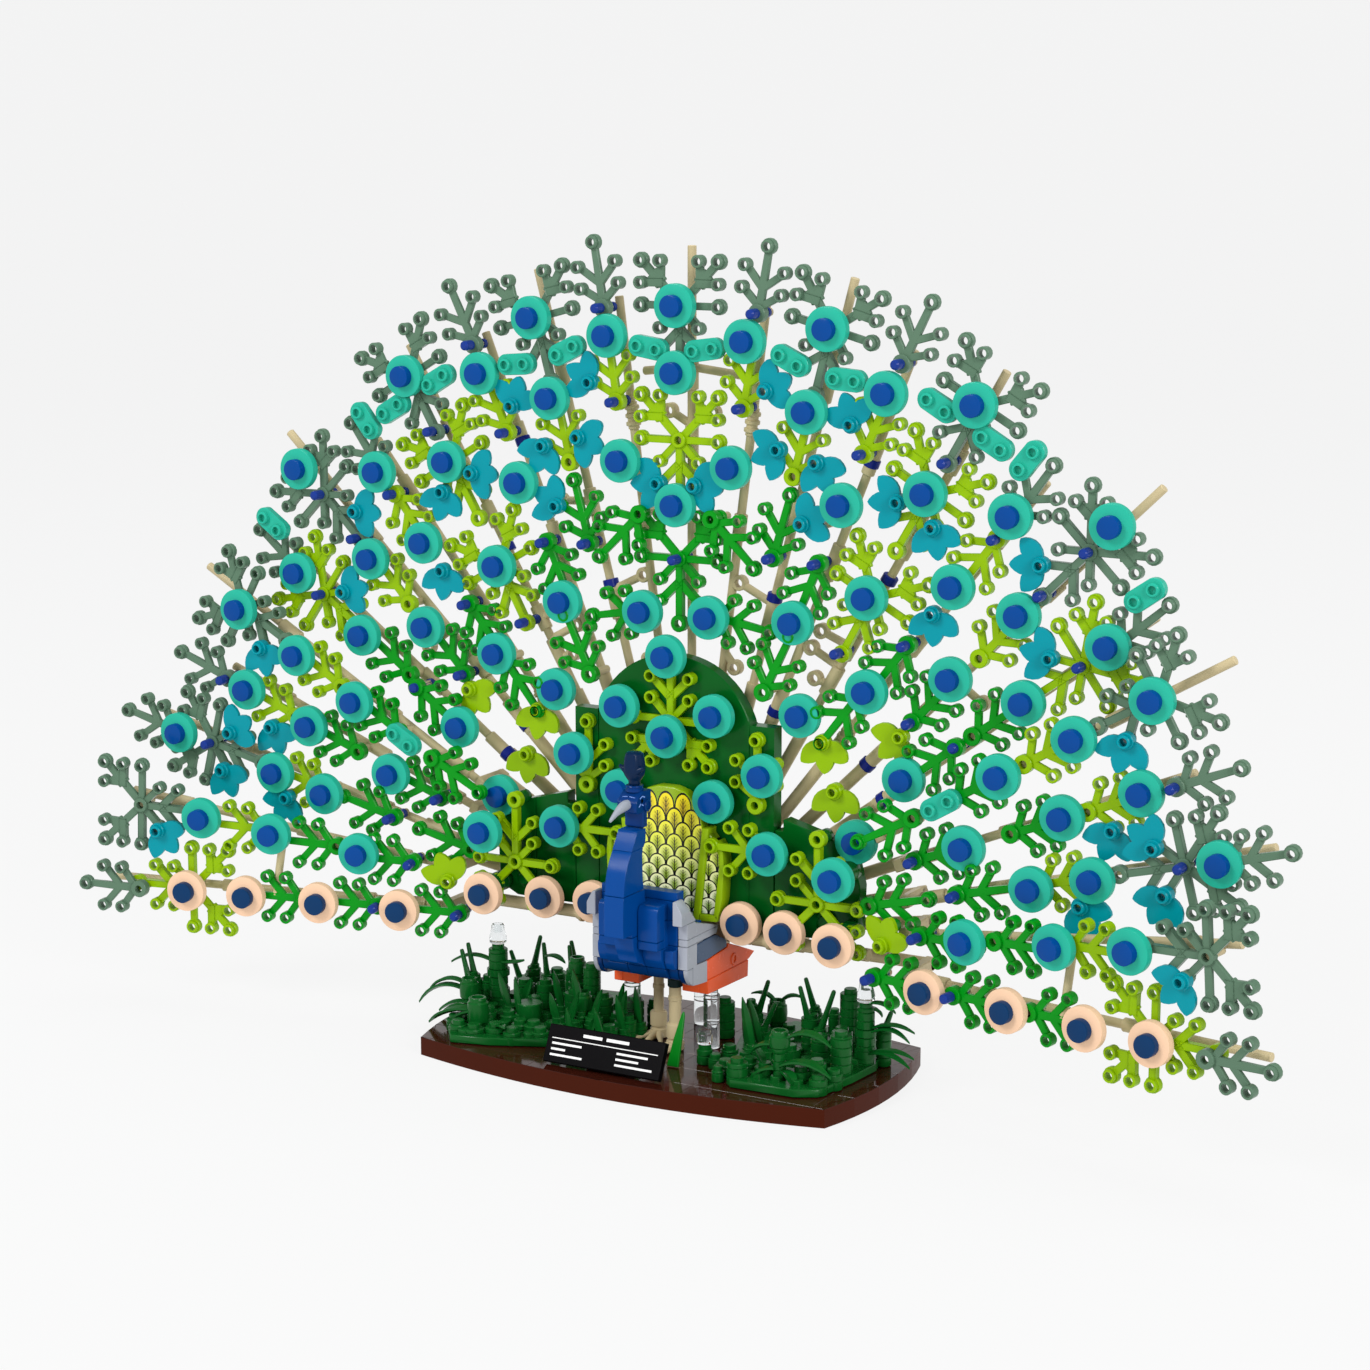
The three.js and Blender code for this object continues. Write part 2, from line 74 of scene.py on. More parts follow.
soft_lamp("key_lamp", (-0.75, -1.5, 1.35), 0.7, 23)
soft_lamp("fill_lamp", (1.6, -0.8, 0.9), 0.8, 19)
soft_lamp("top_lamp", (0.1, 0.3, 1.7), 0.9, 10)

world = bpy.data.worlds.new("room")
world.use_nodes = True
room_light = world.node_tree.nodes["Background"].inputs
room_light["Color"].default_value = (0.93, 0.95, 0.97, 1)
room_light["Strength"].default_value = 0.45
scene.world = world

TABLE_REACH = 4.0
TABLE_CURVE = 2.0
TABLE_STEPS = 12
table_bm = bmesh.new()
table_line = [(0, 0), (TABLE_REACH, 0)]
for i in range(1, TABLE_STEPS + 1):
    rise = math.radians(90 / TABLE_STEPS * i)
    table_line.append((TABLE_REACH + TABLE_CURVE * math.sin(rise), TABLE_CURVE * (1 - math.cos(rise))))
table_verts = [table_bm.verts.new((reach, 0, height)) for reach, height in table_line]
table_edges = [table_bm.edges.new(pair) for pair in zip(table_verts, table_verts[1:])]
bmesh.ops.spin(table_bm, geom=table_verts + table_edges, cent=(0, 0, 0), axis=(0, 0, 1), angle=math.tau,
               steps=64, use_merge=True)
bmesh.ops.remove_doubles(table_bm, verts=table_bm.verts, dist=0.001)
for face in table_bm.faces:
    if face.normal.z < -0.01:
        face.normal_flip()
    face.smooth = True


def as_mesh(name, bm):
    """Turns a finished shape into a mesh and lets go of it."""
    mesh = bpy.data.meshes.new(name)
    bm.to_mesh(mesh)
    bm.free()
    return mesh


def new_material(name, settings):
    """A material with these numbers on its shader, and its node tree."""
    material = bpy.data.materials.new(name)
    material.use_nodes = True
    shader = material.node_tree.nodes["Principled BSDF"]
    for socket, value in settings.items():
        shader.inputs[socket].default_value = value
    return material, material.node_tree, shader


table = bpy.data.objects.new("table_top", as_mesh("table_top", table_bm))
scene.collection.objects.link(table)
table_paint, _, _ = new_material("table_top", {
    "Base Color": (0.08, 0.08, 0.08, 1), "Roughness": 1, "Specular IOR Level": 0,
    "Emission Color": (1, 1, 1, 1), "Emission Strength": 0.85})
table.data.materials.append(table_paint)


# ---- Display base ----
# A low slab of reddish brown plastic whose four edges bow out. Its top is laid
# with glossy dark tiles that meet in fine seams.
MM = 0.001
BASE_HEIGHT = 7
BASE_CORNER = (85, 40)
BASE_BULGE = (6, 11)
TILE = 16
SEAM_DEPTH = 0.16
SIDES = (("left", 1), ("right", -1))


def linear(colour):
    """A screen colour of three numbers up to 255 as light values."""
    return [((c / 255 + 0.055) / 1.055) ** 2.4 if c > 10 else c / 255 / 12.92 for c in colour]


def add_node(tree, kind, settings, links=()):
    """One node of a material with its numbers, and what feeds its sockets."""
    node = tree.nodes.new("ShaderNode" + kind)
    for socket, value in settings.items():
        node.inputs[socket].default_value = value
    for socket, source in links:
        tree.links.new(source, node.inputs[socket])
    return node


def moulded(name, colour, roughness=0.24, tint=0.06, clear=0.0, shine=0.12):
    """Moulded toy plastic: a colour that shifts a little across the piece,
    faint handling marks in the gloss, and a very fine skin."""
    material, tree, shader = new_material(name, {
        "IOR": 1.2 if clear else 1.5, "Specular IOR Level": shine, "Transmission Weight": clear})
    where = tree.nodes.new("ShaderNodeTexCoord").outputs["Object"]
    cloud = add_node(tree, "TexNoise", {"Scale": 90, "Detail": 3}, [("Vector", where)])
    wear = add_node(tree, "TexNoise", {"Scale": 420, "Detail": 4}, [("Vector", where)])
    shade = tree.nodes.new("ShaderNodeMix")
    shade.data_type = "RGBA"
    base = linear(colour)
    shade.inputs["A"].default_value = (*[c * (1 - tint) for c in base], 1)
    shade.inputs["B"].default_value = (*[min(1, c * (1 + tint)) for c in base], 1)
    tree.links.new(cloud.outputs["Fac"], shade.inputs["Factor"])
    tree.links.new(shade.outputs["Result"], shader.inputs["Base Color"])
    gloss = add_node(tree, "MapRange", {"To Min": roughness * 0.75, "To Max": roughness * 1.35},
                     [("Value", wear.outputs["Fac"])])
    tree.links.new(gloss.outputs["Result"], shader.inputs["Roughness"])
    skin = add_node(tree, "Bump", {"Strength": 0.12, "Distance": 0.00004}, [("Height", wear.outputs["Fac"])])
    tree.links.new(skin.outputs["Normal"], shader.inputs["Normal"])
    return material


def shape_done(bm, name, materials, stands_for=()):
    """Turns a shape made in millimetres into a piece of the toy."""
    bmesh.ops.scale(bm, vec=(MM, MM, MM), verts=bm.verts)
    mesh = as_mesh(name, bm)
    for face in mesh.polygons:
        face.use_smooth = True
    mesh.set_sharp_from_angle(angle=math.radians(35))
    for material in materials:
        mesh.materials.append(material)
    piece = bpy.data.objects.new(name, mesh)
    scene.collection.objects.link(piece)
    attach(piece, "root")
    if stands_for:
        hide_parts(*stands_for)


AXES = {"X": (lambda a, b, c: (c, a, b), (1, 0, 0)), "Y": (lambda a, b, c: (a, c, b), (0, 1, 0)),
        "Z": (lambda a, b, c: (a, b, c), (0, 0, 1))}


def outwards(bm):
    """Points every face outwards."""
    bmesh.ops.recalc_face_normals(bm, faces=bm.faces)
    return bm


def push_face(bm, face, way):
    """Draws a face out into a solid, and gives the corners that moved."""
    drawn = bmesh.ops.extrude_face_region(bm, geom=[face])["geom"]
    corners = [item for item in drawn if isinstance(item, bmesh.types.BMVert)]
    bmesh.ops.translate(bm, vec=way, verts=corners)
    return corners


def prism(outline, low, high, axis):
    """A solid with this outline, pushed along an axis between two planes. The
    outline is (depth, height), (side, height) or (side, depth)."""
    place, along = AXES[axis]
    bm = bmesh.new()
    face = bm.faces.new([bm.verts.new(place(a, b, low)) for a, b in outline])
    push_face(bm, face, Vector(along) * (high - low))
    return outwards(bm)


def eased(bm, ease=0.22, segments=1, least=20):
    """Rounds off every edge that turns by more than a few degrees."""
    edges = [edge for edge in bm.edges
             if len(edge.link_faces) == 2 and edge.calc_face_angle() > math.radians(least)]
    bmesh.ops.bevel(bm, geom=edges, offset=ease, segments=segments, profile=0.5, affect="EDGES",
                    material=-1, clamp_overlap=True)
    return bm


def add_shape(bm, other):
    """Adds a finished shape to a piece and lets go of it."""
    mesh = as_mesh("shape", other)
    bm.from_mesh(mesh)
    bpy.data.meshes.remove(mesh)


def moved(x, y, z):
    """A shift by this much."""
    return Matrix.Translation((x, y, z))


def rolled(degrees, axis):
    """A turn about an axis of the toy."""
    return Matrix.Rotation(math.radians(degrees), 4, axis)


def bowed(start, end, bulge, steps):
    """Points along an edge that swells outwards in its middle."""
    (x1, y1), (x2, y2) = start, end
    length = math.hypot(x2 - x1, y2 - y1)
    points = []
    for i in range(steps):
        along = i / steps
        swell = 4 * bulge * along * (1 - along)
        points.append((x1 + (x2 - x1) * along + (y2 - y1) / length * swell,
                       y1 + (y2 - y1) * along - (x2 - x1) / length * swell))
    return points


corner_x, corner_y = BASE_CORNER
corners = [(-corner_x, -corner_y), (corner_x, -corner_y), (corner_x, corner_y), (-corner_x, corner_y)]
slab_outline = []
for i, corner in enumerate(corners):
    slab_outline += bowed(corner, corners[(i + 1) % 4], BASE_BULGE[1 - i % 2], 10 if i % 2 else 18)
base = prism(slab_outline, 0, BASE_HEIGHT - SEAM_DEPTH, "Z")
for axis, reach in ((0, corner_x + BASE_BULGE[0]), (1, corner_y + BASE_BULGE[1])):
    for i in range(-int(reach // TILE), int(reach // TILE) + 1):
        normal = (1, 0, 0) if axis == 0 else (0, 1, 0)
        place = (i * TILE + TILE / 2 * axis, i * TILE + TILE / 2, 0)
        bmesh.ops.bisect_plane(base, geom=[*base.verts, *base.edges, *base.faces], plane_co=place,
                               plane_no=normal)
tops = [face for face in base.faces if face.normal.z > 0.9]
bmesh.ops.inset_individual(base, faces=tops, thickness=SEAM_DEPTH, depth=SEAM_DEPTH)
for face in base.faces:
    face.material_index = 1 if face.normal.z > 0.3 else 0
brown_plastic = moulded("brown_plastic", (64, 22, 8), 0.3, shine=0.05)
tile_plastic = moulded("tile_plastic", (54, 20, 12), 0.08, shine=0.3)
shape_done(base, "display_base", [brown_plastic, tile_plastic], ["base_plate"])

# ---- Nameplate ----
# A black tile that leans back on a small bracket. It is printed with plain
# white rules, and carries no words.
PLATE_SIZE = (48.5, 3.2, 14)
PLATE_FOOT = (-3, -46, BASE_HEIGHT + 1.65)
PLATE_LEAN = 25
plate_place = moved(*PLATE_FOOT) @ rolled(-PLATE_LEAN, "X")


def block(low, high, ease=0.22):
    """A rectangular block between two corners, with eased edges."""
    bm = bmesh.new()
    size = [h - l for l, h in zip(low, high)]
    middle = [(h + l) / 2 for l, h in zip(low, high)]
    bmesh.ops.create_cube(bm, size=1, matrix=moved(*middle) @ Matrix.Diagonal((*size, 1)))
    return eased(bm, ease)


def placed(bm, place):
    """Moves and turns a shape."""
    bmesh.ops.transform(bm, matrix=place, verts=bm.verts)
    return bm


nameplate = placed(block((-PLATE_SIZE[0] / 2, 0, 0), (PLATE_SIZE[0] / 2, *PLATE_SIZE[1:]), 0.3), plate_place)
black_plastic = moulded("black_plastic", (7, 6, 8), 0.3, shine=0.03)
shape_done(nameplate, "nameplate_tile", [black_plastic], ["nameplate"])
bracket = prism([(-42.4, 7.3), (-34, 7.3), (-34, 11), (-37.5, 17.8)],
                PLATE_FOOT[0] - 8, PLATE_FOOT[0] + 8, "X")
shape_done(eased(bracket), "nameplate_rest", [black_plastic], ["nameplate_bracket"])
# Each rule: where it starts, how long it is, how high it stands, how thick.
RULES = [(-9.5, 8, 11.3, 1.15), (0.3, 9.5, 11.3, 1.15), (-22.2, 44.4, 9, 0.35)]
RULES += [(-21.8, length, height, 0.8) for length, height in ((12.5, 7.1), (6, 5), (13.5, 2.9))]
RULES += [(5.5, length, height, 0.8) for length, height in ((13, 7.1), (9.5, 5), (15.5, 2.9))]
rules = bmesh.new()
for left, length, height, thick in RULES:
    rule = block((left, -0.04, height - thick / 2), (left + length, 0.2, height + thick / 2), 0.02)
    add_shape(rules, placed(rule, plate_place))
white_ink = moulded("white_ink", (232, 232, 230), 0.4)
shape_done(rules, "nameplate_rules", [white_ink])

# ---- Plants ----
# Dark green plastic greenery on studded ground plates: stacks of round bricks,
# tubs, thin cones that lean in pairs, upright blades, and long curved leaves.
PITCH = 8
PLATE = 3.2
GROUND = BASE_HEIGHT + 0.3
# The outline of each ground plate, with the side counted outwards.
CARPETS = {
    1: [
        (33, -13), (45, -36), (70, -35), (78, -30.5), (81.5, -11), (83, 6), (74, 34), (34, 38), (22, 18),
    ],
    -1: [
        (22, 18), (36, -28), (56.5, -37.5), (71, -41), (78, -32), (84, -12), (86, 6), (76, 34), (34, 38),
    ],
}
# Round stacks: side, depth, top, radius.
STACKS = {
    1: [
        (60, -26, 20, 2.4), (76, -9, 24, 4), (45.5, -31, 15.5, 3.9), (67.4, 16, 32, 3.9), (22, 24, 19, 2.4),
        (24.5, 24, 14, 3.9), (52, 15, 20.5, 3.9), (51, 20, 22, 2.4), (59, 20, 22, 2.4), (58, 10, 17, 3.4),
        (60, 12, 14, 3.9), (32, 14, 13, 3.9), (15, 16, 21, 3.9), (24, -16, 12.8, 3), (36.5, -2, 11, 3.9),
        (82, 14, 21, 2.6), (53, -24, 13, 3.9), (67, -23, 13.5, 3.9), (72, -20, 16, 3.4), (48, 24, 17, 3.9),
        (63, 1, 18, 3.9), (44, 5, 15, 3.9), (70, 4, 21, 3.9), (40, -14, 12, 3.9), (53, -4, 14, 3.9),
        (37, -24, 11.5, 3.9), (30, -19, 11, 2.6), (38, -31.5, 11.4, 2.4), (76, -27, 13, 3.4),
        (78, -19, 13, 3.4), (30, -8, 11.4, 3.4), (45, -20, 12.5, 3.4),
    ],
    -1: [
        (-36, 4, 30, 3.4), (-34, -6, 14, 3.4), (-88, 1, 20, 2.4), (-84, 6, 18, 3.9), (-79, 22, 14, 3.4),
        (-73, 22, 20, 2.4), (-66, 20, 17, 2.4), (-64, 24, 19, 3.9), (-76, 26, 16, 3.9), (-51.5, 17, 24, 3.4),
        (-44, 10, 22, 3.9), (-42, 1, 20, 3.9), (-30, 2, 20, 3.9), (-24, 8, 17, 3.4), (-28, -8, 15, 3.4),
        (-40, -14, 13, 3.9), (-61, -16, 13, 3.4), (-64, -8, 14, 3.4), (-46, -22, 13, 3.9), (-58, 6, 20, 3.9),
        (-58, -30, 12.5, 3.9), (-72, -34, 12.5, 3.4), (-76, -18, 13, 3.4), (-57, -4, 16, 3.4),
        (-69, 8, 18, 3.9), (-65, -34, 12, 3.9), (-50, -31, 12, 3.4), (-78, -27, 12, 3.4),
        (-41, -25.5, 12, 3.4), (-36, -21, 12, 3.4), (-52, -22, 12.5, 3.4), (-33, -14, 12.5, 3.4),
        (-70, -16, 13, 3.4), (-19, -12, 12.5, 3.4), (-15, -5, 15, 3.4), (-17, 4, 20, 3.4), (-12, 9, 18, 2.4),
    ],
}
# Tubs: side, depth, foot, height, radius.
TUBS = {
    1: [
        (60, -26, 20.2, 8, 3.9), (30, 30, 10, 10, 3.9),
    ],
    -1: [
        (-69, -25, 9.5, 11.5, 4.2), (-84, -8, 12.4, 9.6, 3.8), (-34, -6, 14.5, 9, 3.6),
        (-45, 8, 23.8, 8, 3.6),
    ],
}
# Cones: their foot, and their tip.
CONES = {
    1: [
        ((24.5, 24, 15), (29.3, 24, 29)), ((32, 14, 13), (37.6, 14, 24.2)),
        ((51.4, 14, 20), (48.6, 12, 32.7)), ((51, 20, 22), (47.9, 18, 34.3)),
        ((58, 10, 18), (63.7, 10, 33.8)), ((82, 14, 21), (85, 14, 28)),
    ],
    -1: [
        ((-88.5, -1, 19), (-92, -1, 30.5)), ((-88, 2, 20), (-91, 2, 32.5)),
        ((-79.4, 22, 14), (-84.2, 22, 25.4)), ((-73.8, 22, 20), (-70.2, 22, 33.2)),
        ((-66, 20, 17), (-67.6, 20, 31.3)), ((-51.5, 18, 24), (-53.8, 18, 34.5)),
        ((-51, 14, 24), (-52.2, 14, 33.9)),
    ],
}
# Leaves: where they start, their tip, their width, and how far they arch up.
LEAVES = {
    1: [
        ((62, -26, 25), (80, -25, 24.8), 4.6, 3.4), ((61, -28, 15.5), (81.5, -28, 14.5), 5, 3),
        ((59, -27, 23), (48, -27, 18), 4.2, 1.5), ((59, -28, 14.5), (49, -29, 8), 4.2, 1.5),
        ((62, -28, 14), (68.5, -30.5, 9), 4.6, 1.5), ((81, 5, 23.5), (99, 4, 25), 2.8, 2),
        ((81, 4, 22), (98, 2, 21.7), 2.8, 3), ((81, 4, 14.5), (99.7, 2, 16), 2.8, 1.8),
        ((81, 3, 14.5), (100, -2, 13.7), 2.8, 2.2), ((80, 5, 33), (91, 5, 31), 2.8, 1.4),
        ((80, 5, 31), (84, 9, 27.5), 2.8, 1), ((53, -24, 13), (46, -20, 19), 3, 1),
        ((30, 30, 18), (20, 28, 22), 3, 2), ((30, 30, 18), (40, 32, 22), 3, 2),
    ],
    -1: [
        ((-80, 4, 26), (-99.6, 3, 23.8), 2.8, 2.6), ((-78, 4, 26.6), (-65.8, 3, 29.2), 2.8, -0.8),
        ((-66, 19, 26.6), (-55.2, 16, 26.2), 2.8, 1), ((-84, -8, 19), (-102.3, -8, 15.6), 3, 3.2),
        ((-84, -8, 16.5), (-107, -9, 9.5), 3.8, 4.5), ((-70, -26, 16), (-91, -26, 8.5), 5.4, 2),
        ((-70, -27, 16), (-80.6, -28, 9), 4.4, 1.2), ((-83, -10, 13), (-95.7, -12, 8.6), 3.4, 1.4),
        ((-57, -30, 12), (-50, -36, 15), 3, 0.8), ((-76, -18, 12), (-88, -20, 12), 3.4, 2),
    ],
}
# Upright blades: their foot, their top, and their width.
BLADES = {
    1: [
        ((36.5, -2, 11), (32.2, -2, 30), 3.6), ((37.5, 2, 12), (33, 2, 28.5), 3.4),
        ((40, -2, 10.5), (45, -3, 20), 2.6), ((30, 6, 9), (28.6, 6.5, 22), 3),
    ],
    -1: [
        ((-64, -10, 14), (-69, -10, 26.8), 3), ((-57, -14, 13), (-59, -14, 27.7), 2.6),
        ((-33.6, -8, 16), (-37, -8, 32.4), 3.4), ((-65, 0, 13), (-60.8, 0, 23.4), 2.8),
        ((-17, -20, 9), (-20.4, -20, 23), 2.8), ((-30.6, -20, 11), (-32.4, -20, 21), 2.6),
        ((-25, -20, 8), (-20, -20, 20), 2.8), ((-28, -10, 14), (-23, -11, 27), 3),
        ((-40, -14, 12), (-43, -15, 24), 3), ((-37, -12, 12), (-32, -13, 25), 3),
        ((-47, 0, 14), (-50, -1, 28), 3), ((-24, 2, 14), (-20, 0, 27), 3), ((-15, -8, 12), (-18, -8, 25), 3),
        ((-12, -1, 13), (-14, -1, 27), 2.8), ((-19, -4, 13), (-16, -5, 26), 3),
    ],
}


def ring(bm, u, v, outer, inner, front, back, sides=14):
    """A hollow ring on the stud grid, eased in front, that faces -Y."""
    profile = [(inner, front), (outer - 0.3, front), (outer, front + 0.3), (outer, back), (inner, back)]
    verts = [bm.verts.new((v * PITCH + radius, depth, u * PITCH)) for radius, depth in profile]
    edges = [bm.edges.new((verts[i], verts[i - 1])) for i in range(len(verts))]
    bmesh.ops.spin(bm, geom=verts + edges, cent=(v * PITCH, 0, u * PITCH), axis=(0, 1, 0),
                   angle=math.tau, steps=sides, use_merge=True)


def turned(profile, sides=24, x=0, y=0, z=0):
    """A solid of revolution on an upright axis, from (radius, height) pairs."""
    bm = bmesh.new()
    verts = [bm.verts.new((x + radius, y, z + height)) for radius, height in profile]
    edges = [bm.edges.new(pair) for pair in zip(verts, verts[1:])]
    bmesh.ops.spin(bm, geom=verts + edges, cent=(x, y, 0), axis=(0, 0, 1), angle=math.tau,
                   steps=sides, use_merge=True)
    bmesh.ops.remove_doubles(bm, verts=bm.verts, dist=0.001)
    return outwards(bm)


def round_stack(x, y, low, high, radius, course=PLATE):
    """Round bricks of one stud, stacked up, with a stud on the top one."""
    profile = [(0, low), (radius - 0.2, low)]
    height = low
    while height < high - 0.1:
        top = min(height + course, high)
        profile += [(radius, height + 0.3), (radius, top - 0.3), (radius - 0.35, top)]
        height = top
    stud = min(2.4, radius - 0.6)
    profile += [(stud, high), (stud, high + 1.4), (stud - 0.3, high + 1.7), (0, high + 1.7)]
    return turned(profile, 20, x, y)


def tub(x, y, low, height, radius):
    """A round tub that narrows at its foot and rim, with a sunk top."""
    profile = [(0.72, 0), (0.8, 0.8), (0.8, 1.5), (0.95, 2.1), (1, height * 0.5), (0.95, height - 2.1),
               (0.8, height - 1.5), (0.8, height - 0.4), (0.74, height), (0.55, height), (0.52, height - 1.4)]
    profile = [(0, 0), *[(part * radius, up) for part, up in profile], (0, height - 1.4)]
    return turned(profile, 22, x, y, low)


def leaf_blade(length, width, arch, thick=0.8):
    """A long pointed leaf with a groove along it, that arches up and over."""
    bm = bmesh.new()
    bmesh.ops.create_grid(bm, x_segments=9, y_segments=2, size=1)
    for vert in bm.verts:
        along, across = (vert.co.x + 1) / 2, vert.co.y
        swell = 0.3 + 0.7 * math.sin(math.pi * min(1, along * 0.9 + 0.08)) ** 0.7
        half = width / 2 * swell * (1 - along ** 7)
        rise = 4 * arch * along * (1 - along)
        vert.co = Vector((length * along, across * half, rise + 0.4 * abs(across) * half))
    bmesh.ops.solidify(bm, geom=bm.faces[:], thickness=thick)
    return outwards(bm)


def from_to(start, end, along, up):
    """How far it is from one place to another, and the move and turn that lay
    a shape's own length between them."""
    start, way = Vector(start), Vector(end) - Vector(start)
    return way.length, moved(*start) @ way.to_track_quat(along, up).to_matrix().to_4x4()


def leaf_between(start, tip, width, arch, upright=False):
    """A leaf from its foot to its tip. An upright one shows its flat side."""
    length, place = from_to(start, tip, "X", "Z")
    return placed(leaf_blade(length, width, arch), place @ rolled(90 if upright else 0, "X"))


def cone_between(start, tip):
    """A thin cone with a rounded point."""
    length, place = from_to(start, tip, "Z", "Y")
    profile = [(0, 0), (1.5, 0), (1.45, 0.6), (1.1, length * 0.45), (0.85, length - 0.6), (0.6, length),
               (0, length)]
    return placed(turned(profile, 10), place)


def well_inside(x, y, outline, margin):
    """Whether a place lies inside an outline, and this far from its edges."""
    middle_x, middle_y = (sum(corner[i] for corner in outline) / len(outline) for i in (0, 1))
    for (x1, y1), (x2, y2) in zip(outline, outline[1:] + outline[:1]):
        off = (x - x1) * (y2 - y1) - (y - y1) * (x2 - x1)
        middle_off = (middle_x - x1) * (y2 - y1) - (middle_y - y1) * (x2 - x1)
        if off * middle_off <= 0 or abs(off) <= margin * math.hypot(x2 - x1, y2 - y1):
            return False
    return True


STUD = [(2.4, 0), (2.4, 1.4), (2.15, 1.7), (0, 1.7)]


def ground_plate(side):
    """The green plate under the plants, with a stud in each square of it."""
    outline = [(side * x, y) for x, y in CARPETS[side]]
    bm = eased(prism(outline, GROUND, BASE_HEIGHT + PLATE, "Z"), 0.25)
    for i in range(-12, 13):
        for j in range(-6, 7):
            x, y = (i + 0.5) * PITCH, (j + 0.5) * PITCH
            if well_inside(x, y, outline, 3.2):
                add_shape(bm, turned(STUD, 14, x, y, BASE_HEIGHT + PLATE))
    return bm


plant_plastic = moulded("plant_plastic", (8, 84, 28), 0.22, 0.2, shine=0.2)
LAMP_PLACE = (79, 5)
LAMP_STEM_TOP = 33
LAMP_STEM_RADIUS = {1: 3.3, -1: 3.75}
BARREL = [(0, 0), (3.4, 0), (4.5, 2.4), (4.8, 5), (4.8, 8), (4.5, 8.4), (0, 8.4)]
BARREL_PLACE = (-54, -12, 9.4)
for name, side in SIDES:
    plants = ground_plate(side)

    def grow(foot_radius, foot, shape=None):
        """Adds a stack up to this place, and the shape that stands on it."""
        x, y, top = foot
        add_shape(plants, round_stack(x, y, GROUND, top, foot_radius))
        if shape:
            add_shape(plants, shape)

    for x, y, top, radius in STACKS[side]:
        grow(radius, (x, y, top))
    for x, y, foot, height, radius in TUBS[side]:
        add_shape(plants, tub(x, y, foot, height, radius))
        if side < 0 or x < 50:
            grow(3.4, (x, y, foot - 1.7))
    for (x, y, z), tip in CONES[side]:
        grow(2.9, (x, y, z - 1.2), cone_between((x, y, z - 1), tip))
    for (x, y, z), tip, width in BLADES[side]:
        grow(2.9, (x, y, z - 1.2), leaf_between((x, y, z - 1), tip, width, -0.5, True))
    for start, tip, width, arch in LEAVES[side]:
        add_shape(plants, leaf_between(start, tip, width, arch))
    stem_x, stem_y, stem = side * LAMP_PLACE[0], LAMP_PLACE[1], LAMP_STEM_RADIUS[side]
    grow(stem, (stem_x, stem_y, LAMP_STEM_TOP - 1.7))
    band = [(stem - 0.4, -1.3), (stem + 0.7, -1.3), (stem + 0.7, 1.3), (stem - 0.4, 1.3)]
    for height in (22, 14):
        add_shape(plants, turned(band, 18, stem_x, stem_y, height))
    if side < 0:
        grow(2.6, BARREL_PLACE, turned(BARREL, 24, *BARREL_PLACE))
    shape_done(plants, f"plant_clump_{name}", [plant_plastic], [f"plants_{name}"])

# A tall bright blade stands on the tiles beside the nameplate and leans back.
BLADE_SHAPE = [(13.5, 0), (18.1, 0), (17.9, 10.4), (17.5, 19), (16.9, 20.4), (16.3, 19), (14.7, 10.4)]
blade_plastic = moulded("blade_plastic", (6, 118, 26), 0.22)
plaque_blade = eased(prism(BLADE_SHAPE, -0.6, 0.6, "Y"), 0.2)
placed(plaque_blade, moved(0, -25.3, GROUND) @ rolled(-18, "X"))
shape_done(plaque_blade, "plaque_blade", [blade_plastic])

# ---- Lamps and clear posts ----
# Clear bricks: a round one with a narrower top on each tall green stack, and
# the posts that hold the bird and the fan off the base.
clear_plastic = moulded("clear_plastic", (244, 247, 248), 0.05, 0.02, clear=0.97, shine=0.4)
LAMP = [(0, 0), (2.6, 0), (3.3, 0.4), (3.3, 3), (2.6, 5.4), (2.5, 5.8), (2.45, 7.2), (2.2, 7.6), (1.6, 7.7),
        (1.6, 4.5), (0, 4.5)]
for name, side in SIDES:
    lamp = turned(LAMP, 24, side * LAMP_PLACE[0], LAMP_PLACE[1], LAMP_STEM_TOP + 0.3)
    shape_done(lamp, f"clear_lamp_{name}", [clear_plastic], [f"lamp_{name}"])
dew = round_stack(24, -16, 14.9, 18.6, 2.9, 4)
shape_done(dew, "clear_round_left", [clear_plastic])
POSTS = (("left", 17, 2, 29.6, 3.1), ("right", -17, 2, 29.6, 3.1), ("rear", 0, 27, 33.7, 3.9))
for name, x, y, top, radius in POSTS:
    post = round_stack(x, y, GROUND, top - 1.7, radius, 9.6)
    shape_done(post, f"clear_post_{name}", [clear_plastic], [f"prop_{name}"])

# ---- Legs ----
# Two legs of tan bars: a thin round shank, a thicker jointed ankle, three claws
# in front and one behind. A dark round brick joins the left one to the body.
BODY_BOTTOM = 38.4


def leg(x, y, shank, top):
    """One leg that stands at this side and depth."""
    bm = turned([(0, 0), (2.9, 0), (3.3, 0.4), (3.3, 3.4), (2.7, 3.8), (2.7, 4.4), (3.25, 4.8), (3.25, 9.6),
                 (2.9, 10.2), (shank + 0.1, 10.4), (shank, 10.8), (shank, 19), (shank + 0.3, 19.2),
                 (shank + 0.3, 20.6), (shank, 20.8), (shank, top - GROUND), (0, top - GROUND)],
                22, x, y, GROUND)
    for way, reach in ((-34.4, 11), (0, 12), (34.4, 11), (180, 6.5)):
        claw = bmesh.new()
        bmesh.ops.create_cone(claw, cap_ends=True, segments=12, radius1=1.75, radius2=0.55, depth=reach - 1,
                              matrix=moved(0, -(reach + 1) / 2, 1.7) @ rolled(90, "X"))
        for vert in claw.verts:
            along = -vert.co.y / reach
            low = vert.co.z - 1.7 + 1.75 * (1 - 0.68 * along)
            vert.co.z = 0.05 + low * (1 + 0.5 * math.sin(math.pi * along))
        add_shape(bm, placed(eased(claw, 0.2), moved(x, y, GROUND) @ rolled(way, "Z")))
    return bm


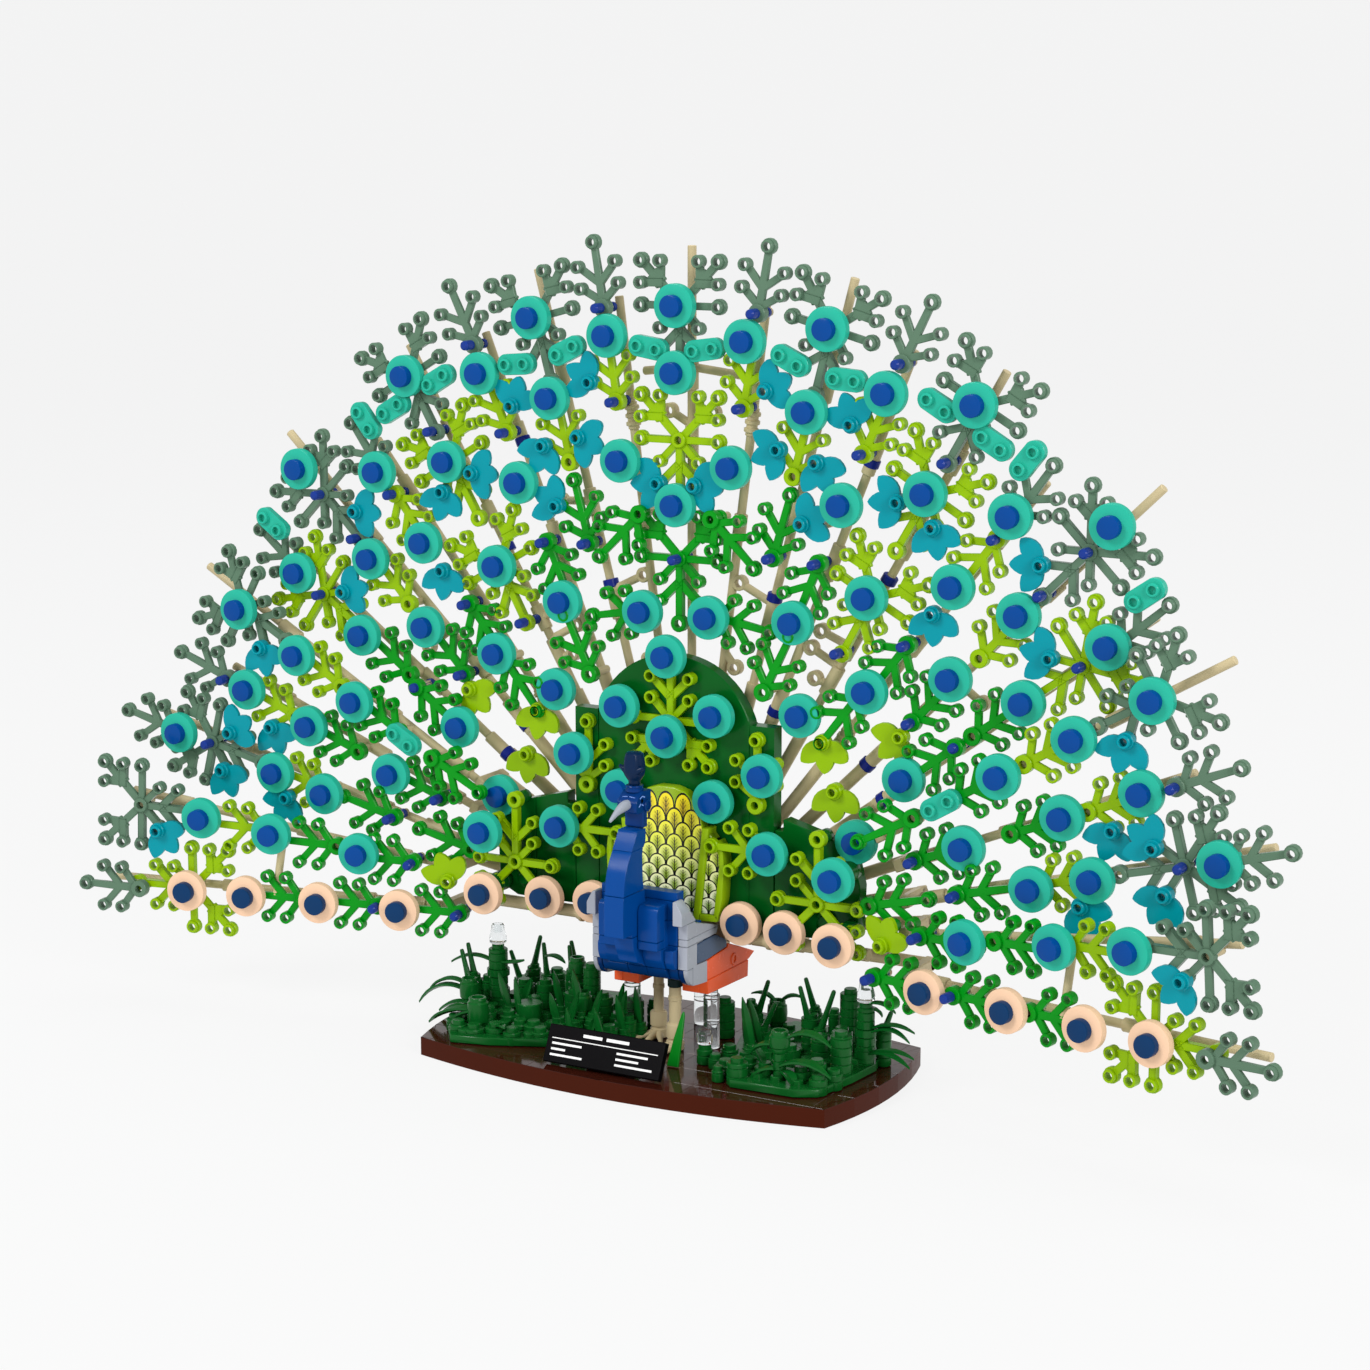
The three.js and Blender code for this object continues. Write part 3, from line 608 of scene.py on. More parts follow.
tan_plastic = moulded("tan_plastic", (192, 176, 138), 0.3)
HIP_FOOT = 31.5
shape_done(leg(6.5, -7, 2.3, HIP_FOOT), "tan_leg_left", [tan_plastic], ["leg_left"])
shape_done(leg(-6.5, 3.5, 1.95, BODY_BOTTOM - 0.3), "tan_leg_right", [tan_plastic], ["leg_right"])
head_navy = moulded("head_navy", (6, 44, 96), 0.2)
hip_plastic = moulded("hip_plastic", (4, 34, 34), 0.22)
hip = turned([(0, 0), (2.5, 0), (2.8, 0.3), (2.8, 3), (2.5, 3.3), (2.8, 3.6), (2.8, 6.2), (2.5, 6.5),
              (0, 6.5)], 22, 6.5, -7, HIP_FOOT + 0.05)
shape_done(hip, "hip_joint", [hip_plastic])

# ---- Trunk ----
# A block of blue bricks laid in courses, rounded underneath and painted a darker
# blue there as shade, with two raised blocks on its front that the neck passes between.
SEAM = 0.14


def courses(outline, low, high, axis, cuts=(), ease=0.22, across="Z"):
    """A slab that is cut into bricks at these places, with fine seams."""
    normal = Vector(AXES[across][1])
    whole = prism(outline, low, high, axis)
    bm = bmesh.new()
    limits = [None, *cuts, None]
    for start, end in zip(limits, limits[1:]):
        brick = whole.copy()
        for limit, way in ((start, -1), (end, 1)):
            if limit is not None:
                bmesh.ops.bisect_plane(brick, geom=[*brick.verts, *brick.edges, *brick.faces],
                                       plane_co=normal * (limit - way * SEAM / 2), plane_no=normal * way,
                                       clear_outer=True)
                rims = [edge for edge in brick.edges if edge.is_boundary]
                bmesh.ops.holes_fill(brick, edges=rims, sides=0)
        add_shape(bm, eased(brick, ease))
    whole.free()
    return bm


def smooth_line(points, steps=5):
    """Extra points between these, on one smooth curve through them."""
    line = []
    for i in range(len(points) - 1):
        before, start, end, after = (Vector(points[min(max(j, 0), len(points) - 1)])
                                     for j in (i - 1, i, i + 1, i + 2))
        for k in range(steps):
            t = k / steps
            bend = (2 * before - 5 * start + 4 * end - after) * t * t
            bend += (3 * start - before - 3 * end + after) * t ** 3
            line.append(tuple(start + ((end - before) * t + bend) / 2))
    return line + [tuple(points[-1])]


BODY_HALF = 15.9
BODY_FRONT = -22.2
BODY_TOP = 71.7
BREAST_FRONT = -30.7
BREAST_BACK = -24.9
BREAST_BOTTOM = 51.3
BREAST_TOP = 67.7
UNDERSIDE = 43.2
BELLY_HALF = 12
KEEL_HALF = 4
body_blue = moulded("body_blue", (2, 64, 136), 0.2)
# The underside is the body blue painted darker, as painted shade.
shaded_hull_blue = moulded("shaded_hull_blue", (2, 52, 110), 0.2)
trunk = courses([(BODY_FRONT, UNDERSIDE), (-3.9, UNDERSIDE), (-3.9, 57.4), (-12, 57.4), (-17.2, 68.4),
                 (-17.2, BODY_TOP), (BODY_FRONT, BODY_TOP)],
                -BODY_HALF, BODY_HALF, "X", (BREAST_BOTTOM + 0.5, 61.4, BODY_TOP - PLATE))
low, high = BREAST_BOTTOM - 0.2, BREAST_TOP - 0.1
add_shape(trunk, courses([(-24.6, low), (-20, low), (-20, high), (-24.6, high)],
                         -BELLY_HALF, BELLY_HALF, "X", (61.4,)))
add_shape(trunk, block((-BELLY_HALF, -20, UNDERSIDE), (BELLY_HALF, -2.7, 57)))
# Slopes under the breast: the front edge, how many steps smooth it, the height
# of the flat top, and how far out from the middle each pair starts and ends.
SLOPES = [
    ([(-27.2, 51), (-27.2, 48.8), (-26.6, 46.6), (-25.6, 44.9), (-24.3, UNDERSIDE)], 4, 51,
     KEEL_HALF + 0.1, BELLY_HALF),
    ([(-25.3, 50.6), (-25.3, 47.4), (-24.7, 45.2), (-23.6, UNDERSIDE)], 3, 50.6, BELLY_HALF + 0.1, BODY_HALF),
]
for front, steps, top, near, far in SLOPES:
    for side in (-1, 1):
        outline = smooth_line(front, steps) + [(-20, UNDERSIDE), (-20, top)]
        add_shape(trunk, courses(outline, *sorted((side * near, side * far)), "X"))
keel_front = smooth_line([(-33.8, 56), (-33.5, 53.5), (-32.6, 51), (-31.3, 48.6), (-30.2, 45.9)], 4)
add_shape(trunk, courses(keel_front + [(-27.4, 44.9), (-24.4, UNDERSIDE), (-20, UNDERSIDE), (-20, 56)],
                         -KEEL_HALF, KEEL_HALF, "X"))
shape_done(trunk, "trunk_bricks", [body_blue], ["trunk"])
HULL_TOP = UNDERSIDE - SEAM
hull = smooth_line([(-24.2, HULL_TOP), (-23.4, 41.2), (-21.9, 39.4), (-20.2, BODY_BOTTOM)], 4)
underside = courses(hull + [(-2.7, BODY_BOTTOM), (-2.7, HULL_TOP)], -BELLY_HALF, BELLY_HALF, "X",
                    (-KEEL_HALF, KEEL_HALF), across="X")
hull_side = smooth_line([(BODY_FRONT, HULL_TOP), (-21.6, 41), (-20.9, 39.5), (-19.8, BODY_BOTTOM)], 3)
for side in (-1, 1):
    add_shape(underside, courses(hull_side + [(-3.9, BODY_BOTTOM), (-3.9, HULL_TOP)],
                                 *sorted((side * (BELLY_HALF + 0.1), side * BODY_HALF)), "X"))
shape_done(underside, "trunk_underside", [shaded_hull_blue], ["trunk"])
BIB = [
    (BREAST_BACK, BREAST_BOTTOM), (BREAST_BACK, BREAST_TOP), (BREAST_FRONT + 1.6, BREAST_TOP),
    (BREAST_FRONT + 0.5, BREAST_TOP - 0.7), (BREAST_FRONT, BREAST_TOP - 2.2), (BREAST_FRONT, BREAST_BOTTOM),
]
for name, side in SIDES:
    bib = courses(BIB, *sorted((side * 4.3, side * 12.3)), "X", (BREAST_BOTTOM + PLATE,))
    shape_done(bib, f"breast_block_{name}", [body_blue], [f"breast_{name}"])

# ---- Hub ----
# A half round tan plate behind the green panels. The shafts of the fan clip to
# its face, and a block under it stands on the rear post.
HUB_HEIGHT = 47
HUB_RADIUS = 46
HUB_FRONT = 19.9
HUB_BACK = HUB_FRONT + 5


def on_hub(radius, degrees):
    """Side and height of a place on the hub, counted round from its left."""
    turn = math.radians(degrees)
    return radius * math.cos(turn), HUB_HEIGHT + radius * math.sin(turn)


half_round = [on_hub(HUB_RADIUS, 5 * i) for i in range(37)] + [(-HUB_RADIUS, 43), (HUB_RADIUS, 43)]
hub = courses(half_round, HUB_FRONT, HUB_BACK, "Y", (-24, -8, 8, 24), across="X")
for low, high in ((34, 43.5), (43.6, 53.1), (53.2, 64)):
    add_shape(hub, block((-8, HUB_BACK + 0.05, low), (8, 33, high)))
add_shape(hub, block((-8, HUB_FRONT, 34), (8, HUB_BACK, 42.9)))
for i in range(13):
    for radius in (22, 36):
        x, z = on_hub(radius, 15 * i)
        add_shape(hub, placed(turned(STUD, 14), moved(x, HUB_BACK, z) @ rolled(-90, "X")))
shape_done(hub, "fan_hub_plate", [tan_plastic], ["fan_hub"])

# ---- Shafts of the fan ----
# Long tan bars fan out from the hub behind the panels: one upright and twelve on
# each side. Thick sleeves join their lengths. The low ones step forward at a
# bracket, and a peg on the bar carries each leaf.
STEP_RADIUS = 100
SHAFT_DEPTH = 17.3
# Each ray: turn from upright, how far its outer part stands forward, how much
# that part leans forward, where the bar starts and ends.
RAYS = {
    "long_0": (0, 0, 0, 27, 255), "short_1": (7.4, 0, 0, 40, 238), "long_1": (15, 0, 0, 27, 253.7),
    "short_2": (22, 0, 0, 40, 238), "long_2": (30, 0, 0, 27, 248), "short_3": (38.2, 0, 0, 40, 226),
    "long_3": (45.6, 0, 0, 27, 254.6), "short_4": (53.5, 2, 0, 40, 226), "long_4": (59.8, 13.5, 0, 27, 247),
    "short_5": (67.2, 8.5, 2.8, 40, 218), "long_5": (74.6, 13, 2.8, 27, 240),
    "short_6": (80.9, 17, 11.9, 40, 232), "long_6": (90, 18, 10.6, 27, 240),
}


def along_rays(table, alone="long_0"):
    """Each thing in a table of rays, once for each side that the ray is on."""
    return [(ray, side, thing) for ray, things in table.items() for thing in things
            for side in ((1,) if ray == alone else (1, -1))]


def ray_place(ray, side):
    """The place of a ray's outer part: up is outwards and -Y is to the front."""
    turn, forward, lean, _, _ = RAYS[ray]
    return (moved(0, 0, HUB_HEIGHT) @ rolled(turn * side, "Y") @ moved(0, -forward, STEP_RADIUS)
            @ rolled(lean, "X") @ moved(0, 0, -STEP_RADIUS))


def rod(length, radius, sides=14):
    """A round bar that starts at the origin and points upwards."""
    return turned([(0, 0), (radius - 0.25, 0), (radius, 0.25), (radius, length - 0.25),
                   (radius - 0.25, length), (0, length)], sides)


def rod_between(start, end, radius):
    """A round bar from one place to another."""
    length, place = from_to(start, end, "Z", "Y")
    return placed(rod(length, radius, 12), place)


def ribbed_sleeve(length, radius):
    """A sleeve with three ribs round it."""
    profile = [(0, 0), (radius, 0)]
    for i in range(3):
        rib = length * (0.2 + 0.3 * i)
        profile += [(radius, rib - 1), (radius + 0.7, rib - 0.6),
                    (radius + 0.7, rib + 0.6), (radius, rib + 1)]
    return turned(profile + [(radius, length), (0, length)], 16)


# Sleeves on each ray: the radius where they start, and their length.
SLEEVES = {
    "long_0": [(128, 14), (178, 12), (203, 16)], "short_1": [(150, 10)],
    "long_1": [(120, 14), (160, 10), (208, 10)], "short_2": [(90, 14), (148, 14), (190, 12)],
    "long_2": [(110, 12), (126, 10), (170, 10), (206, 10)], "short_3": [(92, 14), (144, 12), (196, 12)],
    "long_3": [(98, 16), (126, 10), (176, 10), (196, 8)], "short_4": [(96, 14), (136, 12), (184, 10)],
    "long_4": [(104, 12), (142, 10), (196, 10)], "short_5": [(104, 10), (140, 10), (188, 10)],
    "long_5": [(104, 10), (130, 10), (196, 10)], "short_6": [(112, 10), (150, 10), (206, 10)],
    "long_6": [(104, 8), (126, 10), (184, 8)],
}
COLLARS = {"long_1": [132], "short_2": [193, 92], "long_2": [159], "long_3": [100], "short_4": [98]}
RIBBED = {"short_1": [(189, 10)], "short_3": [(100, 9)], "long_5": [(92, 5)]}
# Side arms that end in a ring: where the arm leaves the bar, and the radius
# and side shift of the ring.
RING_ARMS = {
    "long_0": [(190, 195, 9)], "short_1": [(108, 103.2, 5)], "long_1": [(131, 134, -15), (165, 168, 13)],
    "long_2": [(122, 121.7, -13), (131, 129.3, -12.7), (114, 112.9, -6)], "long_3": [(150, 152, 12)],
}
shafts = bmesh.new()
collars = bmesh.new()


def on_shaft(bm, ray, side, radius, shape, place=None):
    """Adds a shape to the axis of a ray's bar, this far out from the hub."""
    place = place or ray_place(ray, side)
    add_shape(bm, placed(shape, place @ moved(0, SHAFT_DEPTH, radius)))


for ray, side, (turn, forward, lean, start, end) in along_rays({ray: [row] for ray, row in RAYS.items()}):
    inner = moved(0, 0, HUB_HEIGHT) @ rolled(turn * side, "Y")
    on_shaft(shafts, ray, side, start, rod(STEP_RADIUS - start, 2.4), inner)
    on_shaft(shafts, ray, side, STEP_RADIUS - 2, rod(end - STEP_RADIUS + 2, 1.65))
    if forward > 4:
        bracket = block((-2.3, -forward - 2.3, -4), (2.3, 2.3, 0), 0.4)
        on_shaft(shafts, ray, side, STEP_RADIUS, bracket, inner)
for ray, side, (low, length) in along_rays(SLEEVES):
    on_shaft(shafts, ray, side, low, rod(length, 2.5))
for ray, side, (low, length) in along_rays(RIBBED):
    on_shaft(shafts, ray, side, low, ribbed_sleeve(length, 2.1))
for ray, side, low in along_rays(COLLARS):
    on_shaft(collars, ray, side, low, rod(3.2, 3.0))
for ray, side, (start, radius, shift) in along_rays(RING_ARMS, alone=None):
    hand = bmesh.new()
    ring(hand, 0, 0, 2.9, 1.6, -1.6, 1.6, 16)
    on_shaft(shafts, ray, side, 0, placed(outwards(hand), moved(shift * side, 0, radius)))
    foot, wrist = Vector((0, 0, start)), Vector((shift * side, 0, radius))
    way = (wrist - foot).normalized()
    on_shaft(shafts, ray, side, 0, rod_between(foot, wrist - way * 2.4, 1.55))
for side in (1, -1):
    inner_end = (side * 2, SHAFT_DEPTH, HUB_HEIGHT + 211)
    outer_end = (side * 20, SHAFT_DEPTH, HUB_HEIGHT + 209)
    add_shape(shafts, rod_between(inner_end, outer_end, 1.6))
    top = ray_place("short_6", side) @ Vector((0, SHAFT_DEPTH, 166))
    foot = ray_place("long_6", side) @ Vector((0, 9, 165))
    add_shape(shafts, rod_between(top, foot, 1.55))
ray_nodes = []
for ray in RAYS:
    length, number = ray.split("_")
    ray_nodes += [f"ray_{length}_{name}_{number}" for name, side in SIDES if side > 0 or ray != "long_0"]
shape_done(shafts, "fan_shafts", [tan_plastic], ray_nodes)
navy_plastic = moulded("navy_plastic", (24, 38, 128), 0.22)
shape_done(collars, "shaft_collars", [navy_plastic])

# ---- Leaves of the fan ----
# Flat leaf plates with a hollow ring at every tip, in three colours from the
# middle of the fan outwards: bright green, lime and sand green.
LEAF_FRONT = 7.7
LEAF_BACK = 9.7
RING_FRONT = 6


def arm(bm, start, end, width, sunk=0.0, end_width=None, short=0.0):
    """A flat arm of the leaf from one grid point towards another. Each kind is
    a hair thinner than the last, so that no two faces share a plane."""
    (u1, v1), (u2, v2) = start, end
    length = math.hypot(u2 - u1, v2 - v1) * PITCH - short
    place = (moved(v1 * PITCH, (LEAF_FRONT + LEAF_BACK) / 2, u1 * PITCH)
             @ rolled(math.degrees(math.atan2(v2 - v1, u2 - u1)), "Y"))
    verts = bmesh.ops.create_cube(bm, size=1, matrix=moved(0, 0, 0.5))["verts"]
    for vert in verts:
        wide = (end_width or width) if vert.co.z > 0.5 else width
        thick = LEAF_BACK - LEAF_FRONT - 2 * sunk
        vert.co = place @ Vector((vert.co.x * wide, vert.co.y * thick, vert.co.z * length))
    edges = list({edge for vert in verts for edge in vert.link_edges})
    bmesh.ops.bevel(bm, geom=edges, offset=0.28, segments=1, profile=0.5, affect="EDGES", material=-1)


def stud_ring(bm, u, v):
    """A ring with a hollow stud at the tip of an arm."""
    ring(bm, u, v, 2.95, 1.55, LEAF_FRONT - 0.1, LEAF_BACK)
    ring(bm, u, v, 2.4, 1.55, RING_FRONT, LEAF_FRONT)


def small_leaf():
    """Four by three studs: a spine with two pairs of branches."""
    bm = bmesh.new()
    ring(bm, 0, 0, 3.4, 1.55, LEAF_FRONT - 1.2, LEAF_BACK, 18)
    arm(bm, (0.3, 0), (2.7, 0), 3.2, end_width=2.6)
    for side in (1, -1):
        arm(bm, (0.3, 0.05 * side), (1, side), 2.7, 0.02, short=1.9)
        arm(bm, (1.15, 0.05 * side), (2, side), 2.7, 0.03, short=1.9)
        for u in (1, 2):
            ring(bm, u, side, 2.4, 1.55, RING_FRONT, LEAF_BACK)
    stud_ring(bm, 3, 0)
    return as_mesh("small_leaf", outwards(bm))


# Arms on each side of a star: from, to, width, how much thinner, how much short.
STAR_ARMS = [
    ((0, 0.25), (0, 1.7), 2.7, 0.02, 0), ((0.15, 0.15), (1.2, 1.2), 3.0, 0.04, 0),
    ((1.1, 1.1), (2, 2), 2.9, 0.03, 2.1), ((0.85, 1.02), (2, 1), 3.0, 0.05, 1.9),
    ((1.02, 0.85), (1, 2), 3.0, 0.06, 1.9), ((0.95, 0.95), (1.45, 1.45), 5.2, 0.07, 0),
    ((-0.15, 0.15), (-1, 1), 2.6, 0.05, 1.9), ((-1.1, 0.05), (-2, 1), 2.9, 0.04, 1.9),
]


def star_leaf():
    """Six by five studs: arms all round a middle ring, and a forked stem."""
    bm = bmesh.new()
    ring(bm, 0, 0, 2.9, 1.55, RING_FRONT + 0.6, LEAF_BACK, 18)
    ring(bm, -3, 0, 3.2, 1.55, LEAF_FRONT - 1, LEAF_BACK, 18)
    arm(bm, (-0.25, 0), (-2.7, 0), 2.7)
    for side in (1, -1):
        for (u1, v1), (u2, v2), width, sunk, short in STAR_ARMS:
            arm(bm, (u1, v1 * side), (u2, v2 * side), width, sunk, short=short)
        for u, v in ((0, 2), (2, 2)):
            stud_ring(bm, u, v * side)
        for u, v in ((2, 1), (1, 2), (-1, 1), (-2, 1)):
            ring(bm, u, v * side, 2.4, 1.55, RING_FRONT, LEAF_BACK)
    return as_mesh("star_leaf", outwards(bm))


LEAF_SHAPES = {"small": small_leaf(), "star": star_leaf()}
# The leaves on each ray: their shape, the radius and side shift of their foot
# or middle, their turn on the ray, and how many plates they lie in front.
SAND_LEAVES = {
    "long_0": [("star", 233.8)], "short_1": [("small", 234.3, 1.8, 2.6)], "long_1": [("star", 235.4)],
    "short_2": [("small", 234, 1, 4.6)], "long_2": [("star", 235.4, 0.6)],
    "short_3": [("small", 210.9, 1.2, -2.1)], "long_3": [("star", 223, 0.2)],
    "short_4": [("small", 211.4, 1.3, -3.6)], "long_4": [("star", 220, 0, 1)],
    "short_5": [("small", 213.7, 1.6, 1.3)],
    "long_5": [("star", 210.2, 0.1, 0.8), ("small", 226, 0.4, 0.2, 1)],
    "short_6": [("star", 223.8, 2.1, 5.8)], "long_6": [("small", 222.8, 0.9, -1, 1)],
}
LIME_LEAVES = {
    "long_0": [("star", 185.4)], "short_1": [("small", 199.9, 0.5, 2.6)],
    "long_1": [("small", 180.9, -0.3, -0.8)], "short_2": [("small", 198.7, -0.4, 2.6)],
    "long_2": [("star", 198.5, 0.3, 0.7), ("star", 154.8, 0.9, -1)], "short_3": [("small", 201.8, 0.9, 180)],
    "long_3": [("small", 166.5, 1.2, -2.5)], "short_4": [("star", 197.1, 0.5, 1.3)],
    "long_4": [("small", 165.2)], "short_5": [("small", 179.5, 0.9, 0.5)],
    "long_5": [("small", 154.9, -0.6, 1.5)], "short_6": [("small", 169.3, -0.1, 6.9)],
    "long_6": [("star", 201.1, -0.7, 180)],
}
BRIGHT_LEAVES = {
    "long_0": [("star", 142)], "short_1": [("small", 158.4, -5.4, 127, 1), ("small", 122.6, -2, 92.3)],
    "long_1": [("small", 150.1, -0.3, 1)],
    "short_2": [("small", 155.1, -1.4, 181.5), ("small", 102.9, -2.2, 4.4, 1)],
    "short_3": [("small", 149.7, -0.6, 180), ("small", 123.9, -2.3, 180, 1)],
    "long_3": [("small", 130.7, 1.4, -1.3)],
    "short_4": [("small", 147.8, -0.4, 0.7), ("small", 141.3, -0.3, 180, 1)],
    "long_4": [("small", 134.6), ("small", 117.3, -0.2, 182.5)],
    "short_5": [("small", 148.6, 0.3, 2.1), ("small", 108.7, -0.6, 2.6)],
    "long_5": [("small", 123.4, -1.2, 1.6), ("small", 87.6, -1.7, 2)],
    "short_6": [("small", 139.3, -0.4, 7.3), ("small", 107.5, -1.3, 8.1)],
    "long_6": [("small", 152), ("small", 120.7), ("small", 86.3)],
}


def add_copy(bm, master, place):
    """Adds one more of a shape that is used many times."""
    first = len(bm.verts)
    bm.from_mesh(master)
    bm.verts.ensure_lookup_table()
    bmesh.ops.transform(bm, matrix=place, verts=bm.verts[first:])


def on_ray(ray, side, radius, shift=0.0, turn=0.0, layer=0):
    """A place on the front of a ray, turned from its outward direction."""
    return ray_place(ray, side) @ moved(shift * side, -layer * PLATE, radius) @ rolled(turn * side, "Y")


def place_set(name, master, places, material, stands_for=()):
    """One piece made of many copies of the same shape."""
    bm = bmesh.new()
    for place in places:
        add_copy(bm, master, place)
    shape_done(bm, name, [material], stands_for)


def leaf_set(name, leaves, material):
    """All the leaves of one colour."""
    bm = bmesh.new()
    for ray, side, (shape, *lie) in along_rays(leaves):
        add_copy(bm, LEAF_SHAPES[shape], on_ray(ray, side, *lie))
    shape_done(bm, name, [material])


sand_plastic = moulded("sand_plastic", (88, 116, 95), 0.22)
lime_plastic = moulded("lime_plastic", (135, 174, 4), 0.22)
bright_plastic = moulded("bright_plastic", (2, 138, 22), 0.22)
leaf_set("sand_leaves", SAND_LEAVES, sand_plastic)
leaf_set("lime_leaves", LIME_LEAVES, lime_plastic)
leaf_set("bright_leaves", BRIGHT_LEAVES, bright_plastic)
peg = rod(SHAFT_DEPTH - LEAF_BACK + 0.6, 1.55, 10)
PEG = as_mesh("peg", placed(peg, moved(0, LEAF_BACK - 0.6, 0) @ rolled(-90, "X")))
peg_places = [on_ray(ray, side, *lie[:2]) for leaves in (SAND_LEAVES, LIME_LEAVES, BRIGHT_LEAVES)
              for ray, side, (_, *lie) in along_rays(leaves)]
place_set("leaf_pegs", PEG, peg_places, tan_plastic)

# ---- Eyes of the fan ----
# Round teal plates two studs wide with a small round blue tile pressed on the
# middle. Those along the lowest ray are pale peach with a dark blue tile.
EYES = {
    "long_0": ((162, 0), (210, 0), (234, 0)), "short_1": ((178.4, 0), (224.1, -0.4), (122.5, -2)),
    "long_1": ((205.4, 0), (235.8, 0)), "short_2": ((131.8, -1.2), (179.3, 0), (222.7, 0.6)),
    "long_2": ((102.9, 0), (154.7, 0), (198.9, 0), (235.4, 0)),
    "short_3": ((127, -0.9), (178.8, 0), (212.2, 0.4)), "long_3": ((154.2, 0), (189.4, 0), (236.2, -0.4)),
    "short_4": ((117.4, -1), (172.4, 0), (210, 0.2)), "long_4": ((155.9, 0), (187.4, 0), (219.2, 0)),
    "short_5": ((130.8, 0), (171.1, 0), (202.3, 0)), "long_5": ((153.9, 0), (177.4, 0), (224.5, 0.6)),
    "short_6": ((128.8, -0.6), (166, 0), (196.1, 0.4)),
}
PALE_EYES = {"long_6": ((110.4, 0), (144.7, 0), (176, 0), (201.9, 0))}


def round_plate(radius, front, back, sides, ease=0.35):
    """A round plate that faces the front, with eased rims."""
    bm = turned([(0, -back), (radius - ease / 2, -back), (radius, -back + ease / 2), (radius, -front - ease),
                 (radius - ease * 0.3, -front - ease * 0.3), (radius - ease, -front), (0, -front)], sides)
    return placed(bm, rolled(90, "X"))


EYE_PLATE = as_mesh("eye_plate", round_plate(8, 3.1, 6.3, 40))
EYE_TILE = as_mesh("eye_tile", round_plate(4.05, 0, 3.2, 28, 0.3))


def ray_places(table, alone="long_0"):
    """The places on the fan that a table of rays gives."""
    return [on_ray(ray, side, *lie) for ray, side, lie in along_rays(table, alone)]


eye_teal = moulded("eye_teal", (38, 168, 143), 0.2)
eye_blue = moulded("eye_blue", (0, 64, 136), 0.2)
eye_peach = moulded("eye_peach", (230, 192, 160), 0.26)
eye_navy = moulded("eye_navy", (8, 50, 92), 0.22)
place_set("eye_plates", EYE_PLATE, ray_places(EYES), eye_teal)
place_set("eye_tiles", EYE_TILE, ray_places(EYES), eye_blue)
place_set("pale_eye_plates", EYE_PLATE, ray_places(PALE_EYES), eye_peach)
place_set("pale_eye_tiles", EYE_TILE, ray_places(PALE_EYES), eye_navy)

# ---- Three-lobed flowers ----
# A round plate of one stud with three leaves on one side of it, pressed on a
# ring of the leaf behind. Azure out in the fan and lime close to the bird.
AZURE_FLOWERS = {
    "long_0": [(169.4, 7.6, 93)], "short_1": [(207.9, 9.6, 60)],
    "long_1": [(188.8, -7.6, -112), (189, 8.1, 154), (166.2, 8.4, 60)], "short_2": [(206.8, -7.8, -16)],
    "long_2": [(190.2, -7.5, -92), (190, 8.2, 168)], "short_3": [(165.7, 0.1, 178)],
    "long_3": [(207.1, -7.6, -92)], "short_4": [(189.3, -7.6, -76)], "long_4": [(203.7, 8.1, -165)],
    "short_5": [(187, 9.3, -160)], "long_5": [(201.8, -7.7, -55), (201.8, 8.6, -155), (170.4, 8.4, 150)],
    "short_6": [(214.6, 10.1, -138)],
}
LIME_FLOWERS = {
    "short_3": [(100.1, -2.2, 175)], "long_3": [(124.5, 2.7, -135), (90.3, 0.9, 178)],
    "short_6": [(91.4, 2, 20)],
}


def petal(bm, turn):
    """One leaf: a pointed oval, a little folded along its middle."""
    verts = bmesh.ops.create_circle(bm, cap_ends=True, segments=16, radius=1)["verts"]
    for vert in verts:
        along, across = vert.co.x, vert.co.y
        point = max(0, along) ** 3
        vert.co = Vector((across * 3.7 * (1 - 0.35 * point), 5.2 + 0.22 * abs(across) * 3.7,
                          6.0 + 5.4 * along + 0.2 * point))
    lower = push_face(bm, verts[0].link_faces[0], (0, 1.5, 0))
    bmesh.ops.transform(bm, matrix=rolled(turn, "Y"), verts=verts + lower)


flower_bm = bmesh.new()
for lobe_turn in (-52, 0, 52):
    petal(flower_bm, lobe_turn)
ring(flower_bm, 0, 0, 3.1, 1.55, 4.4, 7.6, 20)
ring(flower_bm, 0, 0, 2.4, 1.5, 2.8, 4.5, 16)
FLOWER = as_mesh("flower", outwards(flower_bm))


def flower_set(name, flowers, material):
    """Flowers turned from upright, not from their ray."""
    places = [on_ray(ray, side, radius, shift, turn - RAYS[ray][0])
              for ray, side, (radius, shift, turn) in along_rays(flowers, alone=None)]
    place_set(name, FLOWER, places, material)


azure_plastic = moulded("azure_plastic", (0, 138, 151), 0.22)
flower_set("azure_flowers", AZURE_FLOWERS, azure_plastic)
flower_set("lime_flowers", LIME_FLOWERS, lime_plastic)

# ---- Two-stud plates with round ends ----
# Turquoise plates with a hollow stud at each end, across the rings of two
# leaves. Each: where its first stud is, and its turn on the ray.
TWIN_PLATES = {
    "long_0": [(218, 7.6, 81.6)], "long_1": [(220, -7.4, -79.2), (220, 7.4, 79.2)],
    "long_2": [(227.5, -8, -90), (227.5, 8, 90)], "short_3": [(226.8, -7.3, 0.7)],
    "short_4": [(226.9, -7.5, 1.5)], "long_4": [(126.6, 0)],
}
twin_bm = bmesh.new()
twin_verts = bmesh.ops.create_circle(twin_bm, cap_ends=True, segments=28, radius=4)["verts"]
for vert in twin_verts:
    x, y = vert.co.x, vert.co.y
    vert.co = Vector((x, 4.5, y + (PITCH if y > 0 else 0)))
push_face(twin_bm, twin_verts[0].link_faces[0], (0, PLATE, 0))
eased(outwards(twin_bm), 0.25, least=40)
for u in (0, 1):
    ring(twin_bm, u, 0, 2.4, 1.55, 2.8, 4.6, 18)
TWIN = as_mesh("twin_plate", outwards(twin_bm))
place_set("twin_plates", TWIN, ray_places(TWIN_PLATES, alone=None), eye_teal)

